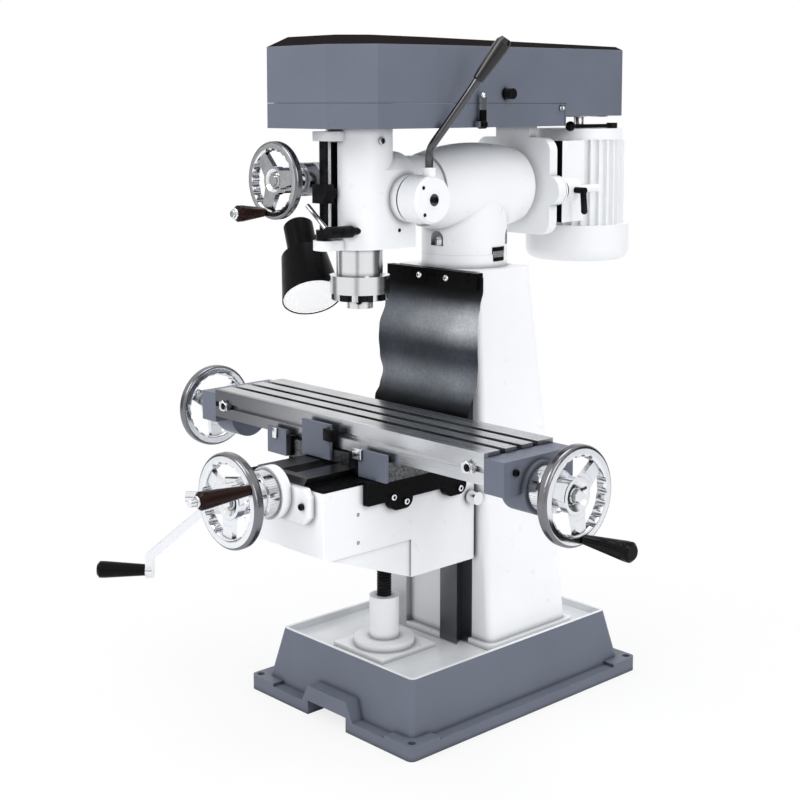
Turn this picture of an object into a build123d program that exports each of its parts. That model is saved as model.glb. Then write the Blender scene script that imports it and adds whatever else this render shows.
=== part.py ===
# A small vertical knee mill without its stand, as separate castings, shafts, wheels and covers.
# Millimetres. +X is the operator's right, +Y runs back to the column, +Z is up.
# The origin is the middle of the base's underside. The pieces stand as they do in the picture.
from build123d import *
import os
from math import cos, hypot, pi, radians, sin

os.makedirs("parts", exist_ok=True)

# Fits and clearances
running_fit = 0.06
slide_gap = 0.3
face_gap = 0.2

# Base casting with its chip tray
base_width = 406
base_depth = 556
base_height = 110
flange_thickness = 20
flange_corner = 11
flange_ledge = 22
base_lean = 18
base_corner = 10
base_wall = 14
rim_wall = 6
tray_depth = 12
tray_floor = 12
pad_length = 62
pad_rise = 5
bolt_inset = 12.5
bolt_hole_radius = 6.5
notch_width = 96
notch_height = 24
arch_width = 150
arch_crown = 96
arch_height = 50
tray_z = base_height - tray_depth

# Column and its dovetail way
column_front = -30
column_foot_half = 136
column_foot_back = 165
column_top_half = 97
column_top_back = 105
head_top = 973
column_top_drop = 238
column_top = head_top - column_top_drop
column_corner = 12
column_wall = 16
column_roof = 24
plinth_margin = 8
plinth_height = 10
way_reach = 28
way_front_half = 82
way_root_half = 66
way_recess_half = 42
way_recess_depth = 12
way_top = 528

# Elevating screw, its pedestal and nut
lift_y = -149
lift_screw_radius = 12.5
lift_thread_depth = 1.2
lift_thread_pitch = 5
lift_screw_foot = 66
pedestal_radius = 25
pedestal_top = 188
pedestal_flange_radius = 51
pedestal_flange_thickness = 12
pedestal_pad = 122
pedestal_pad_thickness = 7
lift_nut_length = 42

# Knee
knee_half = 100
knee_front = -366
knee_gap = 6
knee_top = 425
knee_nose_bottom = 317
knee_bottom = 249.5
knee_heel = -181
knee_wall = 14
knee_deck = 30
knee_corner = 4
wedge_inset = 3
wedge_margin = 5
gib_thickness = 6
rail_height = 12
rail_top_half = 62
rail_root_half = 54
rail_slot_half = 18
deck_step = 4
guard_thickness = 3
lift_web_bottom = 306
lift_web_thickness = 16
knee_lock_shank = 5
knee_lock_seat = 14
knee_lock_y = -48
knee_lock_z = 359
knee_lock_radius = 11
knee_lock_length = 18
knee_lock_standoff = 4
strip_height = 14
strip_thickness = 7
cross_plate_half = 80
cross_plate_bottom = 369
cross_plate_top = 424
cross_plate_thickness = 14
cross_plate_corner = 12
cross_boss_radius = 42
cross_boss_length = 18

# Crank that raises the knee, on a slanting shaft at the front left
crank_z = 354
crank_angle = 225
crank_shaft_radius = 11
crank_boss_radius = 30
crank_boss_end = 244
crank_dial_radius = 34
crank_dial_length = 38
crank_arm_thickness = 12
crank_arm_width = 22
crank_throw = 128
crank_offset = 93
crank_step = 24
crank_stub = 24
crank_hub_length = 28
crank_hub_radius = 17
crank_grip_length = 83
bevel_gear_radius = 30
bevel_pinion_radius = 15
bevel_face = 11
bevel_gap = 0.6

# Saddle, table and their feed screws
saddle_half = 128
saddle_front = -262
saddle_back = -95
table_length = 660
table_width = 152
table_y = -178
table_top = 506
table_bottom = 458
table_rail_height = 11
table_rail_half = 50
table_rail_root_half = 43
tee_slots = 3
tee_pitch = 36
tee_neck = 12
tee_neck_depth = 10
tee_width = 20
tee_height = 8
stop_groove_z = 481
stop_groove_height = 9
stop_groove_depth = 7
feed_screw_radius = 10
feed_screw_z = 451
cross_screw_z = 409
feed_nut_radius = 13
feed_nut_length = 46
cap_thickness = 40
cap_top_drop = 7
cap_height = 52
cap_boss_radius = 41
dial_radius = 36
dial_length = 30
cross_dial_radius = 38
cross_dial_length = 38
wheel_radius = 75
wheel_rim = 9
wheel_hub_radius = 21
wheel_hub_length = 30
wheel_spoke = 20
wheel_spoke_foot = 31
wheel_spoke_depth = 9
wheel_rim_round = 0.6
wheel_face_rise = 0.6
wheel_face_share = 0.37
wheel_dish_share = 0.3
wheel_floor_share = 0.18
wheel_notch_count = 5
wheel_notch_step = 17
wheel_notch_radius = 6
wheel_notch_back = 1.5
handle_pin_radius = 5
pin_length = 48
table_grip_length = 88
cross_grip_length = 92
cross_pin_angle = 27
table_pin_angle = -80
cross_screw_end = -110
cap_boss_reach = 8
keeper_gap = 0.5
keeper_thickness = 12
keeper_front = -285
keeper_back = -67
keeper_bottom = 388
lobe_front_y = -214
lobe_back_y = -92
lobe_width = 50
lobe_bottom = 371
lobe_corner = 16
stop_plate_thickness = 6
left_guard = (-162, -112)
right_guard = (70, 134)
centre_plate = (-70, 0)
centre_block = (-45, -25)
guard_bottom = 426
centre_plate_bottom = 439
guard_top = 470
centre_plate_top = 497
dog_inset = 30
dog_half = 11
dog_half_height = 7
dog_reach = 6

# Turret, overarm and head
turret_y = 40
turret_radius = 74
turret_ring_height = 22
overarm_drop = 105
overarm_z = head_top - overarm_drop
overarm_radius = 50
barrel_front = -62
barrel_back = 149
barrel_front_radius = 62
barrel_crown_radius = 77
barrel_back_radius = 66.5
kingpin_radius = 20
kingpin_height = 30
head_bottom_drop = 193
head_bottom = head_top - head_bottom_drop
head_half = 54
head_back = -128
spindle_y = -202
lug_front = -291
lug_half = 20
top_lug_thickness = 15
top_lug_drop = 5
bottom_lug_thickness = 16
neck_radius = 58
head_neck_radius = 66
lug_corner = 15
left_boss_radius = 28
left_boss_face = 72
nut_seat = 15
nut_inset = 10
nut_pocket_radius = 16
nut_pocket_height = 13
nut_radius = 9
nut_height = 10
turret_nut_count = 3
turret_nut_angle = -85
bearing_inset = 6
nose_ring_notches = 12
lock_shank_radius = 6
quill_radius = 37.5
quill_bottom_drop = 237
quill_bottom = head_top - quill_bottom_drop
quill_length = 150
quill_bore_top_drop = 43
quill_bore_top = head_top - quill_bore_top_drop
quill_slot_half = 8
quill_slot_bottom_drop = 159
quill_slot_bottom = head_top - quill_slot_bottom_drop
quill_slot_top_drop = 22
quill_slot_top = head_top - quill_slot_top_drop
rack_depth = 2.2
rack_flat = 35.5
rack_half = 7
rack_pitch = 6.3
bearing_radius = 26
bearing_width = 16
spindle_radius = 15
spindle_nose_radius = 21.5
spindle_nose_bottom_drop = 291
spindle_nose_bottom = head_top - spindle_nose_bottom_drop
spindle_top_radius = 12.5
spindle_top_rise = 77
spindle_top = head_top + spindle_top_rise
collet_radius = 12
collet_depth = 62
drawbar_radius = 5
drawbar_head = 11
quill_collar_radius = 49
quill_collar_length = 29
nose_ring_radius = 46
nose_ring_length = 10.5
stop_rod_y = -277
stop_rod_radius = 7
stop_block_half = 11.5
stop_block_left = -15.5
stop_block_bottom_drop = 118
stop_block_bottom = head_top - stop_block_bottom_drop
stop_block_height = 30
stop_block_reach = 11
stop_nut_radius = 13
stop_nut_length = 16
lock_x = 36
lock_drop = 162
lock_z = head_top - lock_drop
lock_hub_radius = 9.8
lock_hub_front = -301
lock_hub_ease = 4
lock_rod_radius = 4
lock_rod_length = 67
lock_rod_angle = 143

# Down feed: coarse lever on the right, fine wheel at the front left
pinion_tip_radius = 17.7
pinion_teeth = 16
pinion_half = 9
pinion_shaft_radius = 10
feed_drop = 113
feed_z = head_top - feed_drop
feed_boss_radius = 38
feed_boss_face = 70
feed_hub_radius = 39
feed_hub_length = 44
feed_collar_radius = 11
feed_collar_height = 12
feed_hub_end = 118
journal_radius = 18
journal_start = 6
worm_wheel_inner = 42
worm_wheel_outer = 72
lever_radius = 6.5
lever_bend_x = 118
lever_bend_y = -154
lever_bend_drop = 28
lever_bend = (lever_bend_x, lever_bend_y, head_top - lever_bend_drop)
lever_tip_x = 205
lever_tip_y = -78
lever_tip_rise = 139
lever_tip = (lever_tip_x, lever_tip_y, head_top + lever_tip_rise)
lever_grip_length = 78
fine_x = -52
fine_drop = 82
fine_z = head_top - fine_drop
fine_boss_radius = 27
fine_boss_front = -284
fine_wheel_radius = 62
fine_wheel_rim = 7.5
fine_wheel_y = -333
fine_shaft_radius = 8
worm_radius = 12.4
fine_grip_length = 55
fine_pin_angle = -112

# Drive: spindle, idler and motor pulleys with two belts
idler_y = 70
motor_y = 342
pulley_lift = 15
pulley_bottom = head_top + pulley_lift
pulley_step = 20
spindle_steps = (64, 56, 47, 38)
idler_steps = (38, 47, 56, 64)
motor_steps = (54, 47, 40, 33)
groove_width = 13
groove_depth = 11.6
groove_floor = 8.4
belt_width = 8.8
belt_depth = 8
front_belt_index = 2
rear_belt_index = 1
drive_sleeve_radius = 22
idler_pin_radius = 8

# Motor, its bracket and slide bars
bracket_y = 161
bracket_thickness = 20
bracket_half = 88
bracket_height = 170
bracket_corner = 24
slide_bar_x = 84
slide_bar_drop = 112
slide_bar_z = head_top - slide_bar_drop
slide_bar_radius = 7
slide_boss_radius = 26
slide_boss_end = 185
slide_collar_radius = 20
slide_collar_length = 36
slide_collar_gap = 9
slide_bar_end = 296
bracket_post_half = 40
yoke_half_height = 34
yoke_neck_half = 50
foot_plate_half = 88
foot_plate_thickness = 23
foot_web_half = 84
foot_web_thickness = 16
foot_web_back = 258
foot_lift = 12
lever_screw_radius = 5
clamp_hub_radius = 5.5
clamp_hub_length = 22
clamp_grip_radius = 5.5
rotor_gap = 1
fan_radius = 80
fan_slot_ring = 52
fan_slot_count = 12
fan_slot_length = 40
fan_slot_width = 6
tension_y = 380
tension_hub_radius = 10
motor_bottom_drop = 181
motor_bottom = head_top - motor_bottom_drop
motor_top_drop = 26
motor_top = head_top - motor_top_drop
motor_radius = 85
motor_core_radius = 75
motor_fins = 32
motor_fin_thickness = 3.2
motor_bore = 58
motor_flange_radius = 82
motor_flange_height = 20
fan_cover_radius = 96
fan_cover_bottom_drop = 247
fan_cover_bottom = head_top - fan_cover_bottom_drop
fan_cover_wall = 3
fan_cover_corner = 20
motor_shaft_radius = 9.5
clamp_lever_length = 36
tension_x = 48
tension_reach = 118
tension_ball_radius = 9

# Belt cover: lower pan and hinged lid
cover_front = -332
cover_nose_half = 72
cover_half = 122
cover_shoulder = -272
cover_taper = -147
cover_tail_half = 60
cover_tail = 409
cover_tail_cut = 16
pan_bottom = head_top
pan_height = 39
pan_back = 210
cover_wall = 3
lid_gap = 0.6
lid_wall_height = 88
lid_shoulder = pan_bottom + pan_height + lid_wall_height
lid_slope_height = 16
lid_wall_rise = 10
lid_slope = 0.5
lid_top = lid_shoulder + lid_slope_height
lid_skirt_lift = 17
lid_skirt_bottom = pan_bottom + lid_skirt_lift
hinge_pin_radius = 3
hinge_barrel_radius = 6
hinge_y = -210
hinge_length = 90
latch_y = -41
latch_lift = 5
latch_z = pan_bottom + latch_lift
latch_half = 6
latch_length = 44
latch_pin_radius = 3.5
latch_standoff = 8.5
knob_radius = 9
knob_length = 17
idler_post_radius = 14
knob_y = 33
knob_lift = 55
knob_z = pan_bottom + knob_lift

# Way cover sheet, with the clamp that holds its upper edge
sheet_thickness = 2.5
sheet_left = -105
sheet_right = 120
clamp_right = 112
clamp_drop = 29
clamp_bottom = column_top - clamp_drop
clamp_height = 28
clamp_thickness = 5
sheet_foot = -76
sheet_back = -37
sheet_foot_straight = 35
# Each fold's reach in front of the clamped edge, and its share of the way down to the straight foot
sheet_folds = ((10, 0.138), (20, 0.301), (13, 0.431), (10, 0.545), (25, 0.715), (35, 0.837))
clamp_ease = 0.05

# Work lamp on the left of the head
lamp_x = -222
lamp_y = -150
lamp_drop = 172.5
lamp_place = (lamp_x, lamp_y, head_top - lamp_drop)
lamp_turn = -26
lamp_tilt = 42
lamp_can_radius = 26
lamp_can_length = 59
lamp_neck_radius = 39.5
lamp_shade_radius = 51.5
lamp_shade_length = 96
lamp_wall = 2
lamp_pivot_depth = 32
lamp_arm_y = -142
lamp_arm_drop = 173
lamp_arm_z = head_top - lamp_arm_drop


# Shapes that several pieces share
def block(x0, x1, y0, y1, z0, z1, mode=Mode.ADD):
    """A box between two corners, in the piece being built."""
    with Locations(((x0 + x1) / 2, (y0 + y1) / 2, (z0 + z1) / 2)):
        Box(x1 - x0, y1 - y0, z1 - z0, mode=mode)


def rod(start, end, radius, mode=Mode.ADD):
    """A round bar from one point to another, in the piece being built."""
    way = Vector(*end) - Vector(*start)
    with Locations(Plane(origin=start, z_dir=way)):
        Cylinder(radius, way.length, align=(Align.CENTER, Align.CENTER, Align.MIN), mode=mode)


def rod_x(radius, x0, x1, y, z, mode=Mode.ADD):
    rod((x0, y, z), (x1, y, z), radius, mode)


def rod_y(radius, y0, y1, x, z, mode=Mode.ADD):
    rod((x, y0, z), (x, y1, z), radius, mode)


def rod_z(radius, z0, z1, x, y, mode=Mode.ADD):
    rod((x, y, z0), (x, y, z1), radius, mode)


def turned(axis_plane, profile):
    """A turned piece about the plane's normal, from (radius, height) points."""
    side = Plane(origin=axis_plane.origin, x_dir=axis_plane.x_dir, z_dir=-axis_plane.y_dir)
    with BuildPart() as piece:
        with BuildSketch(side):
            with BuildLine():
                Polyline(*profile, close=True)
            make_face()
        revolve(axis=Axis(axis_plane.origin, axis_plane.z_dir))
    return piece


def handwheel(axis_plane, radius, rim, hub_length, bore, pin_angle=None):
    """A three-spoked wheel about the plane's normal, which points at the operator."""
    ring = radius - rim
    first_spoke = 90 if pin_angle is None else pin_angle
    face_front = wheel_face_rise * rim
    seam_turn = radians(first_spoke + 51)
    seam = axis_plane.x_dir * cos(seam_turn) + axis_plane.y_dir * sin(seam_turn)
    side = Plane(origin=axis_plane.origin, x_dir=seam, z_dir=seam.cross(axis_plane.z_dir))
    with BuildPart() as outer:
        with BuildSketch(side):
            with Locations((ring, 0)):
                RectangleRounded(2 * rim, 2 * rim, wheel_rim_round * rim)
        revolve(axis=Axis(axis_plane.origin, axis_plane.z_dir))
    with BuildPart(axis_plane) as inner:
        with Locations((0, 0, -hub_length / 2)):
            Cylinder(wheel_hub_radius, hub_length)
        with Locations((0, 0, -rim)):
            Cylinder(
                wheel_face_share * radius, rim + face_front, align=(Align.CENTER, Align.CENTER, Align.MIN)
            )
        with BuildSketch(axis_plane.offset(-wheel_spoke_depth / 2)):
            with PolarLocations(0, 3, start_angle=first_spoke):
                Polygon(
                    (bore / 2, -wheel_spoke_foot / 2), (ring, -wheel_spoke / 2), (ring, wheel_spoke / 2),
                    (bore / 2, wheel_spoke_foot / 2), align=None,
                )
        extrude(amount=wheel_spoke_depth)
        Cone(
            wheel_floor_share * radius, wheel_dish_share * radius, face_front + 0.01,
            align=(Align.CENTER, Align.CENTER, Align.MIN), mode=Mode.SUBTRACT,
        )
        with Locations((0, 0, -hub_length / 2)):
            Cylinder(bore, hub_length + 4 * rim, mode=Mode.SUBTRACT)
    with BuildPart(axis_plane) as fingers:
        for spoke in range(3):
            for step in range(wheel_notch_count):
                angle = first_spoke + 120 * spoke + 60 + wheel_notch_step * (step - (wheel_notch_count - 1) / 2)
                with PolarLocations(ring - rim - wheel_notch_back, 1, start_angle=angle):
                    Cylinder(wheel_notch_radius, 4 * rim)
    with BuildPart() as wheel:
        add(outer.part)
        add(inner.part)
        add(fingers.part, mode=Mode.SUBTRACT)
    if pin_angle is None:
        return wheel
    with BuildPart(axis_plane) as pin:
        with PolarLocations(ring, 1, start_angle=pin_angle):
            Cylinder(handle_pin_radius, rim + pin_length, align=(Align.CENTER, Align.CENTER, Align.MIN))
    with BuildPart() as pinned:
        add(wheel.part)
        add(pin.part)
    return pinned


def grip(axis_plane, length, neck, end):
    """A tapered handle that turns on its pin; the plane stands at the pin's foot."""
    bore = handle_pin_radius + running_fit
    profile = [
        (bore, 0),
        (neck - 1.5, 0),
        (neck, 1.5),
        (end, length - 12),
        (end, length - 4),
        (end - 4, length),
        (0, length),
        (0, pin_length + face_gap),
        (bore, pin_length + face_gap),
    ]
    return turned(axis_plane, profile)


def export_group(pieces, name):
    """Separate solids that share one node."""
    group = Compound(children=[piece.part for piece in pieces])
    group.label = name
    export_step(group, "parts/" + name + ".step")


def export(piece, name):
    piece.part.label = name
    export_step(piece.part, "parts/" + name + ".step")


# Base: a drafted box, hollow below, with a tray on top, an arched notch at each end and bolt pads
foot_width = base_width - 2 * flange_ledge
foot_depth = base_depth - 2 * flange_ledge
top_width = foot_width - 2 * base_lean
top_depth = foot_depth - 2 * base_lean
with BuildPart() as base:
    with BuildSketch():
        RectangleRounded(base_width, base_depth, flange_corner)
    extrude(amount=flange_thickness)
    with BuildSketch():
        RectangleRounded(base_width, base_depth, flange_corner)
        Rectangle(base_width - 2 * pad_length, base_depth, mode=Mode.SUBTRACT)
        Rectangle(base_width, base_depth - 2 * pad_length, mode=Mode.SUBTRACT)
    extrude(amount=flange_thickness + pad_rise)
    with BuildSketch(Plane.XY.offset(flange_thickness)):
        RectangleRounded(foot_width, foot_depth, base_corner)
    with BuildSketch(Plane.XY.offset(base_height)):
        RectangleRounded(top_width, top_depth, base_corner)
    loft()
    for end in (-1, 1):
        reach = base_depth / 2 - top_depth / 2
        start = base_depth / 2 if end > 0 else -top_depth / 2
        with BuildSketch(Plane.XZ.offset(-start)):
            with BuildLine():
                Polyline(
                    (-arch_width / 2, 0),
                    (-arch_crown / 2, arch_height),
                    (arch_crown / 2, arch_height),
                    (arch_width / 2, 0),
                    close=True,
                )
            make_face()
        extrude(amount=reach)
    with BuildSketch():
        Rectangle(top_width - 2 * base_wall, top_depth - 2 * base_wall)
    extrude(amount=tray_z - tray_floor, mode=Mode.SUBTRACT)
    with BuildSketch(Plane.XY.offset(base_height)):
        RectangleRounded(top_width - 2 * rim_wall, top_depth - 2 * rim_wall, base_corner - rim_wall)
    extrude(amount=-tray_depth, mode=Mode.SUBTRACT)
    block(-notch_width / 2, notch_width / 2, -base_depth, base_depth, 0, notch_height, Mode.SUBTRACT)
    with GridLocations(base_width - 2 * bolt_inset, base_depth - 2 * bolt_inset, 2, 2):
        Cylinder(bolt_hole_radius, 4 * flange_thickness, mode=Mode.SUBTRACT)
    rod_z(lift_screw_radius + 2, 0, base_height, 0, lift_y, Mode.SUBTRACT)
export(base, "base")

# Column: a tapering hollow casting on a plinth, with the dovetail way up its front
way_front = column_front - way_reach
column_mid = (column_front + column_foot_back) / 2
column_top_mid = (column_front + column_top_back) / 2
ring_top = column_top + turret_ring_height
with BuildPart() as column:
    with BuildSketch(Plane.XY.offset(tray_z)):
        with Locations((0, column_mid)):
            RectangleRounded(2 * column_foot_half, column_foot_back - column_front, column_corner)
    with BuildSketch(Plane.XY.offset(column_top)):
        with Locations((0, column_top_mid)):
            RectangleRounded(2 * column_top_half, column_top_back - column_front, column_corner)
    loft()
    with BuildSketch(Plane.XY.offset(tray_z)):
        with Locations((0, column_mid)):
            RectangleRounded(
                2 * (column_foot_half + plinth_margin),
                column_foot_back - column_front + 2 * plinth_margin,
                column_corner,
            )
    extrude(amount=plinth_height)
    with BuildSketch(Plane.XY.offset(tray_z)):
        with BuildLine():
            Polyline(
                (-way_root_half, column_front + column_wall),
                (-way_root_half, column_front),
                (-way_front_half, way_front),
                (way_front_half, way_front),
                (way_root_half, column_front),
                (way_root_half, column_front + column_wall),
                close=True,
            )
        make_face()
    extrude(amount=way_top - tray_z)
    block(
        -way_recess_half, way_recess_half,
        way_front, way_front + way_recess_depth,
        tray_z + plinth_height, way_top, Mode.SUBTRACT,
    )
    with BuildSketch(Plane.XY.offset(tray_z)):
        with Locations((0, column_mid)):
            Rectangle(
                2 * (column_foot_half - column_wall),
                column_foot_back - column_front - 2 * column_wall,
            )
    with BuildSketch(Plane.XY.offset(column_top - column_roof)):
        with Locations((0, column_top_mid)):
            Rectangle(
                2 * (column_top_half - column_wall),
                column_top_back - column_front - 2 * column_wall,
            )
    loft(mode=Mode.SUBTRACT)
    rod_z(turret_radius, column_top, ring_top, 0, turret_y)
    rod_z(kingpin_radius, ring_top, ring_top + kingpin_height, 0, turret_y)
export(column, "column")

# Pedestal, with the elevating screw's nut cut in its upper end
nut_bottom = pedestal_top - lift_nut_length
with BuildPart() as pedestal:
    block(
        -pedestal_pad / 2, pedestal_pad / 2,
        lift_y - pedestal_pad / 2, lift_y + pedestal_pad / 2,
        tray_z, tray_z + pedestal_pad_thickness,
    )
    pad_top = tray_z + pedestal_pad_thickness
    rod_z(pedestal_flange_radius, pad_top, pad_top + pedestal_flange_thickness, 0, lift_y)
    rod_z(pedestal_radius, pad_top, pedestal_top, 0, lift_y)
    rod_z(lift_screw_radius + 2, tray_z, nut_bottom, 0, lift_y, Mode.SUBTRACT)
    rod_z(lift_screw_radius + running_fit, nut_bottom, pedestal_top, 0, lift_y, Mode.SUBTRACT)
export(pedestal, "elevating_pedestal")

# Knee: a hollow casting, open below, with a crank boss at the left and slideways on top
knee_back = column_front - knee_gap
groove_root_half = way_root_half + (way_front_half - way_root_half) * knee_gap / way_reach
groove_bottom = way_front - slide_gap
shaft_way = (cos(radians(crank_angle)), sin(radians(crank_angle)))


def along_crank(distance, height=crank_z):
    """A point on the crank's axis, measured out from the elevating screw."""
    return (shaft_way[0] * distance, lift_y + shaft_way[1] * distance, height)


with BuildPart() as knee:
    with BuildSketch(Plane.YZ.offset(-knee_half)):
        with BuildLine():
            Polyline(
                (knee_front, knee_top),
                (knee_front, knee_nose_bottom),
                (knee_heel, knee_bottom),
                (knee_back, knee_bottom),
                (knee_back, knee_top),
                close=True,
            )
        make_face()
    extrude(amount=2 * knee_half)
    fillet(knee.edges().filter_by(Axis.Z).group_by(Axis.Y)[0], knee_corner)
    for side in (-1, 1):
        with BuildSketch(Plane.YZ.offset(side * knee_half)):
            with BuildLine():
                Polyline(
                    (knee_front + 2 * wedge_margin, knee_nose_bottom - wedge_margin),
                    (knee_heel, knee_nose_bottom - wedge_margin),
                    (knee_heel, knee_bottom),
                    (knee_front, knee_nose_bottom - 2 * wedge_margin),
                    close=True,
                )
            make_face()
        extrude(amount=-side * wedge_inset, mode=Mode.SUBTRACT)
    rod(along_crank(knee_half), along_crank(crank_boss_end), crank_boss_radius)
    with BuildSketch(Plane.XZ.offset(-knee_front)):
        with BuildLine():
            Polyline(
                (-rail_root_half, knee_top),
                (-rail_top_half, knee_top + rail_height),
                (rail_top_half, knee_top + rail_height),
                (rail_root_half, knee_top),
                close=True,
            )
        make_face()
    extrude(amount=knee_front - saddle_back - 2 * slide_gap)
    block(
        -knee_half, -rail_top_half - 1, knee_front, saddle_front, knee_top - deck_step, knee_top,
        Mode.SUBTRACT,
    )
    block(
        rail_top_half + 1, knee_half, knee_front, saddle_front, knee_top - deck_step, knee_top,
        Mode.SUBTRACT,
    )
    block(
        knee_wall - knee_half, knee_half - knee_wall,
        knee_front + knee_wall, groove_bottom - knee_wall,
        0, knee_top - knee_deck, Mode.SUBTRACT,
    )
    block(
        -rail_slot_half, rail_slot_half,
        knee_front + knee_wall, groove_bottom - knee_wall,
        knee_top - 2 * knee_deck, knee_top + rail_height, Mode.SUBTRACT,
    )
    block(
        -knee_half + knee_wall, knee_half - knee_wall,
        lift_y - pedestal_flange_radius, groove_bottom - knee_wall,
        lift_web_bottom, lift_web_bottom + lift_web_thickness,
    )
    rod_z(lift_screw_radius + running_fit, knee_bottom, knee_top - knee_deck, 0, lift_y, Mode.SUBTRACT)
    rod(
        along_crank(0), along_crank(crank_boss_end + 1), crank_shaft_radius + running_fit,
        Mode.SUBTRACT,
    )
    rod_y(
        feed_screw_radius + running_fit, knee_front - 1, knee_front + 2 * knee_wall, 0, cross_screw_z,
        Mode.SUBTRACT,
    )
    rod_x(
        knee_lock_shank + running_fit, knee_half - knee_lock_seat, knee_half, knee_lock_y,
        knee_lock_z, Mode.SUBTRACT,
    )
    with BuildSketch(Plane.XY.offset(knee_bottom)):
        with BuildLine():
            Polyline(
                (-groove_root_half - gib_thickness - slide_gap, knee_back),
                (-way_front_half - gib_thickness - slide_gap, groove_bottom),
                (way_front_half + slide_gap, groove_bottom),
                (groove_root_half + slide_gap, knee_back),
                close=True,
            )
        make_face()
    extrude(amount=knee_top - knee_bottom, mode=Mode.SUBTRACT)
export(knee, "knee")

with BuildPart() as knee_gib:
    with BuildSketch(Plane.XY.offset(knee_bottom)):
        with BuildLine():
            Polyline(
                (-groove_root_half - gib_thickness - slide_gap, knee_back),
                (-way_front_half - gib_thickness - slide_gap, groove_bottom),
                (-way_front_half - slide_gap, groove_bottom),
                (-groove_root_half - slide_gap, knee_back),
                close=True,
            )
        make_face()
    extrude(amount=knee_top - knee_bottom)
export(knee_gib, "knee_gib")

# Guard plates on the front of the knee, and the strip that holds the foot of the way cover
with BuildPart() as knee_guards:
    for side in (-1, 1):
        inner = side * (rail_top_half + 3)
        outer = side * (knee_half - 2)
        block(
            min(inner, outer), max(inner, outer), knee_front + 4, saddle_front - 2,
            knee_top - deck_step, knee_top - deck_step + guard_thickness,
        )
    block(
        -knee_half + 4, knee_half - 4, sheet_foot, sheet_foot + strip_thickness,
        knee_top, knee_top + strip_height,
    )
export(knee_guards, "knee_guards")

# Elevating screw with its bevel gear, turning in the knee
web_top = lift_web_bottom + lift_web_thickness
gear_apex = crank_z - bevel_gap
gear_back = gear_apex - bevel_pinion_radius
small_end = 1 - bevel_face / bevel_gear_radius


def thread_profile(radius, depth, pitch, start, end):
    """Radius and height of a row of thread crests along a screw."""
    crests = int((end - start) / pitch)
    points = []
    for turn in range(crests):
        foot = start + turn * pitch
        points.append((radius - depth, foot))
        points.append((radius, foot + 0.4 * pitch))
        points.append((radius, foot + 0.6 * pitch))
    points.append((radius - depth, start + crests * pitch))
    return points


def bevel_teeth(count, large, small, rise):
    """Tooth gaps across a bevel gear's cone, in the piece being built."""
    slope = hypot(large - small, rise)
    tilt = 90 - 180 / pi * (rise / slope)
    with PolarLocations((large + small) / 2, count):
        with Locations((0, 0, rise / 2)):
            Box(2 * slope, 1.6, 2.4, rotation=(0, 90 - tilt, 0), mode=Mode.SUBTRACT)


with BuildPart(Plane((0, lift_y, gear_back))) as lift_gear:
    gear_rise = bevel_pinion_radius * bevel_face / bevel_gear_radius
    Cone(
        bevel_gear_radius, bevel_gear_radius * small_end, gear_rise,
        align=(Align.CENTER, Align.CENTER, Align.MIN),
    )
    bevel_teeth(24, bevel_gear_radius, bevel_gear_radius * small_end, gear_rise)
    with Locations((0, 0, 0)):
        Cylinder(
            bevel_gear_radius - 6, gear_back - web_top - face_gap,
            align=(Align.CENTER, Align.CENTER, Align.MAX),
        )
    Cylinder(lift_screw_radius, 4 * bevel_gear_radius, mode=Mode.SUBTRACT)

thread_end = lift_web_bottom - 10
screw_profile = [(0, lift_screw_foot)]
screw_profile += thread_profile(
    lift_screw_radius, lift_thread_depth, lift_thread_pitch, lift_screw_foot, thread_end
)
screw_profile += [
    (lift_screw_radius - lift_thread_depth, lift_web_bottom - 4),
    (lift_screw_radius, lift_web_bottom - 4),
    (lift_screw_radius, gear_back + gear_rise),
    (0, gear_back + gear_rise),
]
lift_bar = turned(Plane((0, lift_y, 0)), screw_profile)
export_group([lift_bar, lift_gear], "elevating_screw")

# Crank: shaft with bevel pinion and dial, bent arm, and the grip that turns on the arm's pin
crank_way = (shaft_way[0], shaft_way[1], 0)
pinion_large = bevel_gear_radius + bevel_gap
pinion_small = pinion_large - bevel_face
pinion_back = pinion_large + 16
shaft_seat = pinion_large + 2
crank_dial_start = crank_boss_end + face_gap
arm_hub_start = crank_dial_start + crank_dial_length
arm_in = arm_hub_start + crank_hub_length - crank_arm_thickness
arm_out = arm_hub_start + crank_hub_length
crank_pin_z = crank_z - crank_throw
pin_foot = arm_out + crank_offset

crank_pinion = turned(
    Plane(origin=along_crank(0), x_dir=(0, 0, 1), z_dir=crank_way),
    [
        (0, pinion_small),
        (bevel_pinion_radius * small_end, pinion_small),
        (bevel_pinion_radius, pinion_large),
        (bevel_pinion_radius, pinion_back),
        (crank_shaft_radius, pinion_back),
        (crank_shaft_radius, shaft_seat),
        (0, shaft_seat),
    ],
)
with BuildPart() as crank_bar:
    rod(along_crank(shaft_seat), along_crank(arm_out), crank_shaft_radius)
    rod(along_crank(arm_out), along_crank(arm_out + crank_stub), crank_shaft_radius - 2)
crank_dial = turned(
    Plane(origin=along_crank(crank_dial_start), x_dir=(0, 0, 1), z_dir=crank_way),
    [
        (crank_shaft_radius, 0),
        (crank_dial_radius, 0),
        (crank_dial_radius, 0.6 * crank_dial_length),
        (crank_dial_radius - 5, 0.65 * crank_dial_length),
        (crank_dial_radius - 5, crank_dial_length),
        (crank_shaft_radius, crank_dial_length),
    ],
)
export_group([crank_bar, crank_pinion, crank_dial], "crank_shaft")

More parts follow.
